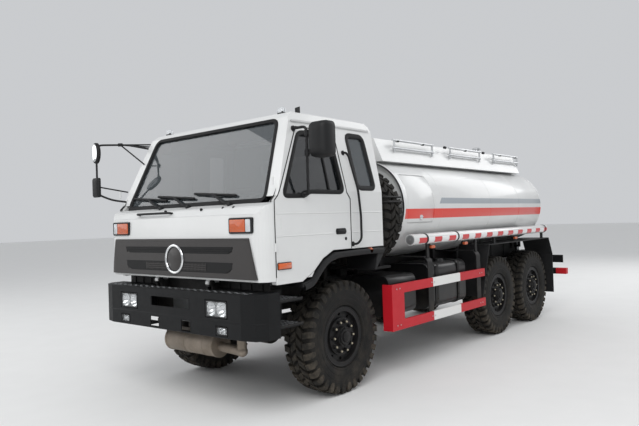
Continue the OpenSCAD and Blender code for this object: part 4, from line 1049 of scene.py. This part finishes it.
def add_lamps():
    """Head and fog lamps, rear lamps and side markers stand for the plain lamp blocks."""
    for side_name, side in SIDES.items():
        a, b = span(side, 0.519, 0.796)
        lamp_unit(a, b, 0.866, 1.012, [(side * 0.585, 0.058), (side * 0.722, 0.062)], side_name + "_head_lamp")
        a, b = span(side, 0.654, 0.796)
        lamp_unit(a, b, 0.720, 0.796, [(side * 0.725, 0.036)], side_name + "_fog_lamp")
    tail_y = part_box("chassis_lamps")[1][1]
    lenses, cases = {"lamp_red": [], "lamp_orange": [], "lamp_pale": []}, []
    for side in SIDES.values():
        plate = round_outline(0.34, 0.10, 0.015, 4, (side * 0.87, REAR_LAMP_Z))
        cases.append(prism(plate, "y", tail_y - 0.034, tail_y - 0.010))
        for x, w, kind in ((0.985, 0.095, "lamp_orange"), (0.87, 0.115, "lamp_red"), (0.755, 0.095, "lamp_pale")):
            pane = round_outline(w, 0.080, 0.012, 4, (side * x, REAR_LAMP_Z))
            lenses[kind].append(prism(pane, "y", tail_y - 0.012, tail_y - 0.001))
    rear = piece("rear_lamp_cases", cases, "black_plastic", "chassis", bevel=0.002)
    for kind, shapes in lenses.items():
        slot = "lamp_orange" if kind == "lamp_orange" else "lamp_clear"
        piece("rear_" + kind, shapes, kind, "chassis", slot, bevel=0.003)
    markers, brackets = [], []
    for side in SIDES.values():
        for y in (FA + 1.59, FA + 2.40, FA + 3.96):
            markers.append(prism(round_outline(0.080, 0.034, 0.008, 3, (y, MARKER_Z)), "x", side * 1.10, side * 1.14))
            brackets.append(prism(round_outline(0.088, 0.042, 0.008, 3, (y, MARKER_Z)), "x", side * 1.085, side * 1.112))
            brackets.append(prism(oblong(y - 0.015, y + 0.015, 1.33, 1.36), "x", side * 1.085, side * 1.09))
    piece("side_marker_lamps", markers, "lamp_orange", "chassis", bevel=0.002)
    piece("side_marker_brackets", brackets, "black_plastic", "chassis", bevel=0.002)
    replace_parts(rear, "chassis_lamps")


def add_cab_lamps():
    """Turn lamps with an orange inner part and a clear outer part; roof lamps and aerial."""
    cases, orange, clear = [], [], []
    for side in SIDES.values():
        outer = round_outline(0.290, 0.134, 0.016, 4, (side * 0.903, TURN_LAMP_Z))
        cases.append(prism(outer, "y", CAB_FRONT_Y - 0.010, CAB_FRONT_Y + 0.035))
        for x, w, kind in ((side * 0.868, 0.192, orange), (side * 0.998, 0.058, clear)):
            shape = round_outline(w, 0.104, 0.010, 4, (x, TURN_LAMP_Z))
            kind.append(loft([upright(shape, CAB_FRONT_Y), upright(shape, CAB_FRONT_Y - 0.0125),
                              upright(moved_in(shape, 0.004), CAB_FRONT_Y - 0.0138)]))
    case = piece("turn_lamp_cases", cases, "black_plastic", "cab", bevel=0.003)
    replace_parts(case, "cab_lamps")
    piece("turn_lamps_orange", orange, "lamp_orange", "cab", angle=50)
    piece("turn_lamps_clear", clear, "lamp_pale", "cab", "lamp_clear", angle=50)
    domes, bases = [], []
    for side in SIDES.values():
        sizes = ((0.080, 0.060, 2.655), (0.080, 0.060, 2.690), (0.066, 0.044, 2.702), (0.040, 0.024, 2.707))
        domes.append(loft([[(side * ROOF_LAMP_X + px, ROOF_LAMP_Y + py, z)
                            for px, py in round_outline(length, width, width * 0.4, 4)] for length, width, z in sizes]))
        base = [(side * ROOF_LAMP_X + px, ROOF_LAMP_Y + py) for px, py in round_outline(0.078, 0.058, 0.02, 4)]
        bases.append(prism(base, "z", 2.63, 2.668))
    piece("roof_lamps", domes, "lamp_pale", "cab", "lamp_clear", angle=60)
    aerial = [[(0.94 - w, FA - 0.47, z), (0.94 + w, FA - 0.47, z), (0.94 + w * 0.5, FA - 0.412, z2),
               (0.94 - w * 0.5, FA - 0.412, z2)] for w, z, z2 in ((0.010, 2.61, 2.61), (0.008, 2.70, 2.72))]
    bases.append(loft(aerial))
    piece("roof_lamp_bases", bases, "black_plastic", "cab", bevel=0.002)


def add_step_treads():
    shapes, edges = [], []
    for side in SIDES.values():
        for z in (1.010, 0.795):
            for row in range(5):
                for k in range(9):
                    x = side * (0.915 + 0.026 * k)
                    y = FA - 0.985 + 0.06 * row
                    lean = 0.006 if (k + row) % 2 else -0.006
                    slanted = [(x - lean - 0.002, y - 0.020), (x - lean + 0.002, y - 0.020),
                               (x + lean + 0.002, y + 0.020), (x + lean - 0.002, y + 0.020)]
                    shapes.append(prism(slanted, "z", z - 0.001, z + 0.002))
            a, b = span(side, 1.1495, 1.154)
            edges.append(block((a, FA - 1.012, z - 0.014), (b, FA - 0.688, z + 0.003)))
    piece("step_chequer", shapes, "rail_metal", "chassis")
    piece("step_edges", edges, "axle_black", "chassis", "rail_metal", bevel=0.001)


# ---------- tank, deck and side tube ----------
TANK_HALF_W = (TANK_HIGH.x - TANK_LOW.x) / 2
TANK_HALF_H = (TANK_HIGH.z - TANK_LOW.z) / 2


def tank_outline(inset=0.0, count=24):
    """Oval of four arcs, the shape of the tank shell."""
    w, h, r = TANK_HALF_W - inset, TANK_HALF_H - inset, TANK_SIDE_R - inset
    big = ((w - r) ** 2 + h ** 2 - r ** 2) / (2 * (h - r))
    half = math.atan2(w - r, big - h)
    points = []
    for k in range(count + 1):
        a = -(math.pi / 2 - half) + 2 * (math.pi / 2 - half) * k / count
        points.append((w - r + r * math.cos(a), r * math.sin(a)))
    for k in range(1, count):
        a = math.pi / 2 - half + 2 * half * k / count
        points.append((big * math.cos(a), big * math.sin(a) - (big - h)))
    return points + [(-x, -z) for x, z in points]


def tank_band(y, width, out, depth=0.004):
    """Raised band round the tank."""
    half, quarter = width / 2, width / 4
    section = ((-half, depth), (-half, -out * 0.5), (-quarter, -out), (quarter, -out), (half, -out * 0.5), (half, depth))
    return strip([[Vector((x, y + along, TANK_Z + z)) for x, z in tank_outline(inset)] for along, inset in section])


def tank_side_x(z, out=0.0):
    """Where the tank's side stands at a height."""
    best = min(tank_outline(0, 60), key=lambda p: abs(TANK_Z + p[1] - z) + (10 if p[0] < 0 else 0))
    return best[0] + out


def add_tank_trim():
    # rolled rims at both heads, weld seams
    y0, y1 = TANK_LOW.y, TANK_HIGH.y
    rims = [tank_band(y, 0.024, 0.0045, 0.02) for y in (y0 + 0.012, y1 - 0.012)]
    rims += [tank_band(y, 0.010, 0.0022) for y in (FA + 1.86, FA + 3.20, FA + 4.15)]
    piece("tank_seams", rims, "tank_white", "chassis", angle=60)
    # outline and latch of the cabinet door
    low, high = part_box("cabinet_door")
    ya, yb, za, zb = low[1], high[1], low[2], high[2]
    frame_line = densify(soft_corners(oblong(ya, yb, za, zb), 0.03, 4), 0.04)
    rows = []
    for inward, out in ((-0.012, -0.003), (-0.010, 0.003), (-0.004, 0.003), (-0.002, -0.003)):
        rows.append([Vector((tank_side_x(z, out), y, z)) for y, z in moved_in(frame_line, inward)])
    piece("cabinet_frame", [strip(rows)], "tank_white", "chassis", angle=60)
    spot = Vector((tank_side_x(za + 0.06), (ya + yb) / 2, za + 0.06))
    latch = [lathe([(0.032, -0.004), (0.032, 0.002), (0.027, 0.004), (0.0, 0.004)], spot, (1, 0, 0), 28),
             prism(round_outline(0.060, 0.014, 0.006, 3, (spot.y, spot.z)), "x", spot.x + 0.002, spot.x + 0.009)]
    piece("cabinet_latch", latch, "chrome", "cabinet_door", "rail_metal", bevel=0.001)
    # clamps where the rails are held on the deck
    low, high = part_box("tank_rails")
    clamps = []
    for side in SIDES.values():
        for k in range(7):
            y = low[1] + 0.10 + (high[1] - low[1] - 0.2) * k / 6
            x, z = side * (abs(high[0]) - 0.017), high[2] - 0.0175
            clamps.append(tube([(x, y - 0.018, z), (x, y + 0.018, z)], 0.0175, 14))
    piece("rail_clamps", clamps, "black_plastic", "chassis")
    # breather on the deck
    profile = [(0.055, -0.02), (0.055, 0.01), (0.045, 0.02), (0.045, 0.085), (0.062, 0.09), (0.062, 0.105), (0.04, 0.118),
               (0.0, 0.120)]
    cap = lathe(profile, (0.5, FA + 4.10, DECK_HIGH.z - 0.08), (0, 0, 1), 28)
    piece("breather", [cap], "rail_metal", "chassis", angle=50)
    # clamp bolts round each lid
    for name in ("front_lid", "rear_lid"):
        lid_low, lid_high = [Vector(c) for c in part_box(name)]
        centre = (lid_low + lid_high) / 2
        r = (lid_high.x - lid_low.x) / 2
        shapes = []
        for k in range(6):
            a = math.radians(60 * k + 30)
            x, y = centre.x + (r - 0.03) * math.cos(a), lid_low.y + r + (r - 0.03) * math.sin(a)
            shapes += bolt_head((x, y, lid_high.z - 0.012), (0, 0, 1), 0.014, 0.014)
        piece(name + "_clamps", shapes, "rail_metal", name)


def add_tube_trim():
    """Straps, reflective tape and end discs of the side tubes."""
    straps, red, white, ends = [], [], [], []
    y0, y1 = TUBE_LOW.y, TUBE_HIGH.y
    r = TUBE_R + 0.0013
    turns = [math.radians(-46 + 62 * k / 8) for k in range(9)]
    for side in SIDES.values():
        centre = (side * TUBE_X, 0, TUBE_Z)
        for y in (FA + 1.42, FA + 2.15, FA + 5.05):
            profile = oblong(TUBE_R - 0.001, TUBE_R + 0.004, y - 0.016, y + 0.016)
            straps.append(lathe(profile, centre, (0, 1, 0), 40, closed=True))
        y = FA + 1.24
        while y < y1 - 0.1:
            for tape, start in ((red, y), (white, y + 0.17)):
                end = min(start + 0.165, y1 - 0.03)
                if end - start >= 0.03:
                    tape.append(strip([[(side * (TUBE_X + r * math.cos(a)), py, TUBE_Z + r * math.sin(a))
                                        for a in turns] for py in (start, end)], False))
            y += 0.34
        for y, turn in ((y0, -1), (y1, 1)):
            ends.append(lathe([(TUBE_R - 0.008, -0.002), (TUBE_R - 0.008, 0.0035), (TUBE_R - 0.014, 0.005), (0.0, 0.005)],
                              (side * TUBE_X, y, TUBE_Z), (0, turn, 0), 40))
            ends += bolt_head((side * TUBE_X, y + 0.004 * turn, TUBE_Z), (0, turn, 0), 0.008, 0.004)
    piece("tube_straps", straps, "black_plastic", "chassis")
    piece("tube_tape_red", red, "tape_red", "chassis", "guard_red", angle=80)
    piece("tube_tape_white", white, "tape_white", "chassis", "tank_white", angle=80)
    piece("tube_end_discs", ends, "rail_metal", "chassis", angle=50)


def add_guard_trim():
    """Bolts that hold the guard rails on their brackets."""
    shapes = []
    for side in SIDES.values():
        for y in (FA + 1.50, FA + 2.71, FA + 0.78):
            for z in (0.54, 0.92):
                for shift in (-0.03, 0.03):
                    shapes += bolt_head((side * (GUARD_HIGH.x - 0.002), y + shift, z), (side, 0, 0), 0.008, 0.005)
    piece("guard_bolts", shapes, "rail_metal", "chassis")


# ---------- mirrors ----------
def shrunk(outline, inward):
    """Outline drawn in towards its middle, so that no corner folds over."""
    xs, zs = [p[0] for p in outline], [p[1] for p in outline]
    cx, cz = (min(xs) + max(xs)) / 2, (min(zs) + max(zs)) / 2
    fx, fz = 1 - inward / (max(xs) - cx), 1 - inward / (max(zs) - cz)
    return [(cx + (x - cx) * fx, cz + (z - cz) * fz) for x, z in outline]


def add_mirrors():
    """Right: an oval and a square mirror on a bent arm with struts. Left: one big head on an upright post."""
    x, y = -1.39, FA - 1.13
    arm = corner_path([(-1.00, FA - 0.735, 2.50), (-1.16, FA - 0.90, 2.548), (x, y, 2.552), (x, y, 2.02),
                       (-1.22, FA - 1.06, 1.95), (-1.075, FA - 0.985, 1.925)], 0.07, 6)
    shapes = [tube(arm, 0.0105, 12)]
    for end in ((-1.035, FA - 0.66, 2.555), (-1.02, FA - 0.78, 2.33), (-1.045, FA - 0.60, 2.53)):
        shapes.append(tube([(-1.20, FA - 0.955, 2.549), end], 0.0075, 8))
    shapes.append(tube([(-1.375, y, 2.10), (-1.10, FA - 0.94, 2.03)], 0.0075, 8))
    for spot in ((-1.20, FA - 0.955, 2.549), (x, y, 2.45), (x, y, 2.10)):
        axis = (0, 0, 1) if spot[0] == x else (1, 0.8, 0)
        shapes.append(lathe(oblong(0.010, 0.018, -0.022, 0.022), spot, axis, 16, closed=True))
    frame_piece = piece("right_mirror_arm", shapes, "black_plastic", "cab", angle=50)
    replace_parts(frame_piece, "right_mirror")

    def head(outline, y_face, deep):
        """Shell with a domed front and a rim round the glass behind."""
        section = ((0.0, 0.020), (0.0, 0.0), (0.004, -deep * 0.35), (0.014, -deep * 0.75), (0.035, -deep * 0.97),
                   (0.055, -deep))
        return loft([upright(shrunk(outline, inward), y_face + shift) for inward, shift in section])

    turns = [2 * math.pi * k / 32 for k in range(32)]
    oval = [(x - 0.002 + 0.073 * math.cos(a), 2.465 + 0.113 * math.sin(a)) for a in turns]
    square = round_outline(0.128, 0.210, 0.020, 5, (x - 0.010, 2.093))
    shells = [head(oval, y - 0.008, 0.018), head(square, y - 0.008, 0.020)]
    piece("right_mirror_heads", shells, "black_plastic", "cab", angle=60)
    panes = [prism(moved_in(outline, 0.008), "y", y + 0.010, y + 0.0145) for outline in (oval, square)]
    panes.append(loft([upright(shrunk(oval, inward), y - 0.0245 + shift)
                       for inward, shift in ((0.020, 0.0), (0.026, -0.002))]))
    piece("right_mirror_panes", panes, "mirror", "cab", "glass")

    px, py = CAB_HALF + 0.06, FA - 0.64
    post = corner_path([(1.062, py, 2.480), (px, py, 2.480), (px, py, 1.888), (CAB_HALF + 0.004, py, 1.888)], 0.05, 6)
    shapes = [tube(post, 0.0125, 14)]
    for end in ((CAB_HALF + 0.003, py, 1.888), (1.058, py, 2.480)):
        shapes.append(lathe([(0.026, -0.003), (0.026, 0.006), (0.018, 0.012)], end, (1, 0, 0), 18))
    for z in (2.25, 2.42):
        shapes.append(lathe(oblong(0.012, 0.022, -0.028, 0.028), (px, py, z), (0, 0, 1), 18, closed=True))
        shapes.append(tube([(px + 0.01, py, z), (px + 0.075, py + 0.005, z)], 0.011, 10))
    outline = round_outline(0.200, 0.308, 0.045, 6, (px + 0.153, 2.355))
    section = ((0.006, 0.090), (0.0, 0.080), (0.0, 0.010), (0.006, -0.030), (0.020, -0.056), (0.045, -0.070),
               (0.075, -0.074))
    shapes.append(loft([upright(shrunk(outline, inward), py + shift) for inward, shift in section]))
    body = piece("left_mirror_head", shapes, "black_plastic", "left_door", angle=50)
    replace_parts(body, "left_mirror")
    panes = [prism(moved_in(outline, 0.016), "y", py + 0.088, py + 0.0935)]
    piece("left_mirror_pane", panes, "mirror", "left_door", "glass")


# ---------- seats, dashboard and steering wheel ----------
def grid_pad(low, high, crown, cut=12):
    """Crowned cushion: a subdivided box whose faces swell and whose sides pull in between the corners."""
    work = bmesh.new()
    bmesh.ops.create_cube(work, size=2)
    bmesh.ops.subdivide_edges(work, edges=work.edges[:], cuts=cut, use_grid_fill=True)
    half = [(b - a) / 2 for a, b in zip(low, high)]
    mid = [(b + a) / 2 for a, b in zip(low, high)]
    for v in work.verts:
        u = v.co.copy()
        round_off = 1 - 0.10 * (abs(u.x * u.y) + abs(u.y * u.z) + abs(u.x * u.z)) / 3
        v.co = Vector([mid[i] + u[i] * half[i] * round_off for i in range(3)])
        v.co.z += crown * (1 - u.x ** 2) * (1 - u.y ** 2) * (1 if u.z > 0 else 0) * 0.5
    return work


CLOTH_STEPS = 14


def swell(work, cap):
    """Cloth pressure puffs the pad up; no point moves further than the cap."""
    mesh = bpy.data.meshes.new("pad")
    work.to_mesh(mesh)
    work.free()
    obj = bpy.data.objects.new("pad", mesh)
    bpy.context.collection.objects.link(obj)
    remesh = obj.modifiers.new("remesh", "REMESH")
    remesh.mode = "VOXEL"
    remesh.voxel_size = 0.008
    bake_modifiers(obj)
    start = [v.co.copy() for v in obj.data.vertices]
    cloth = obj.modifiers.new("cloth", "CLOTH")
    cloth.settings.use_pressure = True
    cloth.settings.uniform_pressure_force = 4
    cloth.settings.effector_weights.gravity = 0
    cloth.settings.tension_stiffness = 20
    cloth.point_cache.frame_start = 1
    cloth.point_cache.frame_end = CLOTH_STEPS
    scene = bpy.context.scene
    for number in range(1, CLOTH_STEPS + 1):
        scene.frame_set(number)
    bake_modifiers(obj)
    scene.frame_set(1)
    for v, old in zip(obj.data.vertices, start):
        move = v.co - old
        if move.length > cap:
            v.co = old + move * (cap / move.length)
    return obj


def bake_modifiers(obj):
    graph = bpy.context.evaluated_depsgraph_get()
    mesh = bpy.data.meshes.new_from_object(obj.evaluated_get(graph))
    old = obj.data
    obj.modifiers.clear()
    obj.data = mesh
    bpy.data.meshes.remove(old)


def add_seats():
    first = None
    for side_name, side in SIDES.items():
        x = side * 0.69
        seat_low, seat_high = (x - 0.205, FA - 0.31, 1.452), (x + 0.205, FA + 0.13, 1.560)
        cushion = swell(grid_pad(seat_low, seat_high, 0.022), 0.016)
        back = grid_pad((-0.195, -0.045, 0.02), (0.195, 0.045, 0.58), 0.0)
        turn = Matrix.Translation((x, FA + 0.205, 1.505)) @ Matrix.Rotation(math.radians(-10), 4, "X")
        bmesh.ops.transform(back, matrix=turn, verts=back.verts)
        back_pad = swell(back, 0.014)
        for pad, kind in ((cushion, "seat_cushion"), (back_pad, "seat_back")):
            pad.name = side_name + "_" + kind
            # sewn channels
            for v in pad.data.vertices:
                u = (v.co.x - x) / 0.20
                groove_depth = 0.0
                for line in (-0.45, 0.0, 0.45):
                    groove_depth += 0.010 * math.exp(-((u - line) / 0.05) ** 2)
                v.co -= Vector(v.normal) * min(0.010, groove_depth)
            pad.data.materials.clear()
            pad.data.materials.append(M["seat_fabric"])
            face_smooth(pad.data, 60)
            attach(pad, "cab")
            first = first or pad
        base = [block((x - 0.16, FA - 0.26, 1.4305), (x + 0.16, FA + 0.10, 1.452))]
        base += [tube([(x + s * 0.215, FA + 0.10, 1.47), (x + s * 0.215, FA + 0.15, 1.55)], 0.012, 8) for s in (-1, 1)]
        piece(side_name + "_seat_base", base, "black_plastic", "cab", bevel=0.004)
    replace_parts(first, "seats")


def add_dash():
    back, top = Vector(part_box("dashboard")[1]).yz
    shapes = []
    for k in range(3):
        vent = round_outline(0.16, 0.07, 0.02, 4, (-0.25 + 0.25 * k, top - 0.10))
        shapes.append(prism(vent, "y", back - 0.004, back + 0.004))
    piece("dash_vents", shapes, "black_plastic", "cab", bevel=0.002)
    profile = [(0.05, -0.004), (0.05, 0.006), (0.045, 0.008), (0.044, 0.004), (0.0, 0.004)]
    dials = [lathe(profile, (x, back, top - 0.09), (0, 1, 0), 28) for x in (0.56, 0.76)]
    piece("dash_dials", dials, "lamp_pale", "cab", "black_plastic", angle=50)
    visor = []
    for side in SIDES.values():
        outline = round_outline(0.62, 0.15, 0.03, 4, (side * 0.47, 2.50))
        visor.append(loft([[Vector((px, y + 0.4 * (pz - 2.5), pz)) for px, pz in outline]
                           for y in (FA - 0.60, FA - 0.585)]))
    piece("sun_visors", visor, "black_plastic", "cab", bevel=0.004)


# ---------- frame details ----------
RAIL_X = 0.425                                   # outer face of a frame rail


def add_frame_trim():
    """Rows of bolts on the webs of the frame rails."""
    places = [FA + away for away in (-0.3, 0.55, 0.62, 1.2, 1.27, 2.3, 2.37)]
    places += [MA - 0.4, MA + 0.3, RA - 0.3, RA + 0.4, RA + 0.9]
    shapes = []
    for side in SIDES.values():
        for y in places:
            for z in (0.84, 0.90, 0.96):
                shapes += bolt_head((side * RAIL_X, y, z), (side, 0, 0), 0.010, 0.008)
    piece("frame_bolts", shapes, "frame_black", "chassis")


def add_radiator():
    """Finned radiator core between the rails, and splash panels on both sides of it, behind the bumper."""
    y0 = FA - 0.95
    core = [block((-0.36, y0 + 0.012, 0.74), (0.36, y0 + 0.07, 1.125))]
    for k in range(60):
        x = -0.345 + 0.69 * k / 59
        core.append(block((x - 0.0018, y0, 0.76), (x + 0.0018, y0 + 0.014, 1.105)))
    for z in (0.75, 1.115):
        core.append(block((-0.37, y0 - 0.004, z - 0.018), (0.37, y0 + 0.075, z + 0.018)))
    piece("radiator", core, "engine_metal", "chassis")
    panels = []
    for side in SIDES.values():
        a, b = span(side, 0.44, 1.04)
        panels.append(block((a, y0 - 0.02, 0.80), (b, y0 - 0.014, 1.150)))
        for k in range(4):
            x = side * (0.53 + 0.14 * k)
            panels.append(block((x - 0.012, y0 - 0.030, 0.82), (x + 0.012, y0 - 0.018, 1.135)))
    panels.append(block((-0.44, y0 - 0.020, 1.025), (0.44, y0 - 0.012, 1.150)))
    piece("splash_panels", panels, "frame_black", "chassis", bevel=0.002)


def add_spare_straps():
    """Two bars that hold the spare wheel against its mast."""
    spare_low, spare_high = [Vector(c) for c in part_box("spare_tyre")]
    mid_x = (spare_low.x + spare_high.x) / 2
    shapes = []
    for z in (1.835, 1.885):
        out = mid_x + math.sqrt(TYRE_R ** 2 - (z - (spare_low.z + spare_high.z) / 2) ** 2) + 0.014
        path = [(mid_x - 0.10, spare_high.y + 0.010, z), (out, spare_high.y + 0.010, z), (out, spare_low.y - 0.012, z),
                (mid_x + 0.05, spare_low.y - 0.012, z)]
        shapes.append(tube(corner_path(path, 0.05, 5), 0.010, 10))
    shapes += bolt_head((mid_x + 0.06, spare_low.y - 0.014, 1.86), (0, -1, 0), 0.03, 0.012)
    piece("spare_straps", shapes, "frame_black", "chassis", angle=50)


def add_wheel_houses():
    """Inner walls of the rear mudguards and a rolled flange on the front fenders."""
    liners, flanges = [], []
    arch = [(-0.675, 1.108), (-0.575, 1.135), (-0.50, 1.20), (-0.38, 1.300), (-0.22, 1.352), (0.0, 1.362), (0.30, 1.364),
            (0.53, 1.356)]
    line = [(p.x, p.y) for p in smooth_path([(FA + away, z, 0) for away, z in arch])]
    section = [(0.0, -0.01), (0.006, 0.016), (-0.004, 0.022), (-0.040, 0.022), (-0.048, 0.014), (-0.046, -0.01)]
    for side in SIDES.values():
        a, b = span(side, 0.655, 0.661)
        liners.append(prism(oblong(MA - 0.46, RA + 0.46, 0.98, 1.235), "x", a, b))
        a, b = span(side, 0.661, 0.672)
        for k in range(5):
            y = MA - 0.30 + 0.46 * k
            liners.append(prism(oblong(y, y + 0.03, 1.0, 1.22), "x", a, b))
        rows = [[Vector((side * (CAB_HALF + out), y, z)) for y, z in shifted(line, drop)] for drop, out in section]
        flanges.append(strip(rows + rows[:1], False))
    piece("wheel_house_liners", liners, "black_plastic", "chassis", bevel=0.002)
    piece("fender_flanges", flanges, "black_plastic", "cab", angle=50)


def add_fuel_trim():
    """Straps over the outer face of the fuel tank."""
    low, high = [Vector(c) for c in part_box("fuel_tank")]
    straps = []
    for t in (0.22, 0.78):
        y = low.y + (high.y - low.y) * t
        straps.append(prism(oblong(y - 0.024, y + 0.024, 0.64, 1.10), "x", high.x - 0.001, high.x + 0.003))
        straps += bolt_head((high.x + 0.003, y, 0.70), (1, 0, 0), 0.009, 0.006)
    piece("fuel_straps", straps, "frame_black", "chassis", bevel=0.001)


def add_silencer_trim():
    """Bands round the silencer."""
    axis_y, axis_z = FA - 0.76, 0.50
    profile = [(0.1195, -0.012), (0.1235, -0.010), (0.1235, 0.010), (0.1195, 0.012)]
    bands = [lathe(profile, (x, axis_y, axis_z), (1, 0, 0), 48, closed=True) for x in (-0.585, -0.30, -0.02, 0.125)]
    piece("silencer_bands", bands, "exhaust_metal", "chassis", angle=40)


# ---------- all of it, in this order ----------
for add in (add_tyres, add_wheel_trim, add_window_seals, add_wipers, add_front_trim, add_grille, add_cab_side_trim,
            add_bumper_trim, add_lamps, add_cab_lamps, add_step_treads, add_tank_trim, add_tube_trim, add_guard_trim,
            add_mirrors, add_seats, add_dash, add_frame_trim, add_radiator, add_wheel_houses, add_spare_straps,
            add_fuel_trim, add_silencer_trim):
    add()
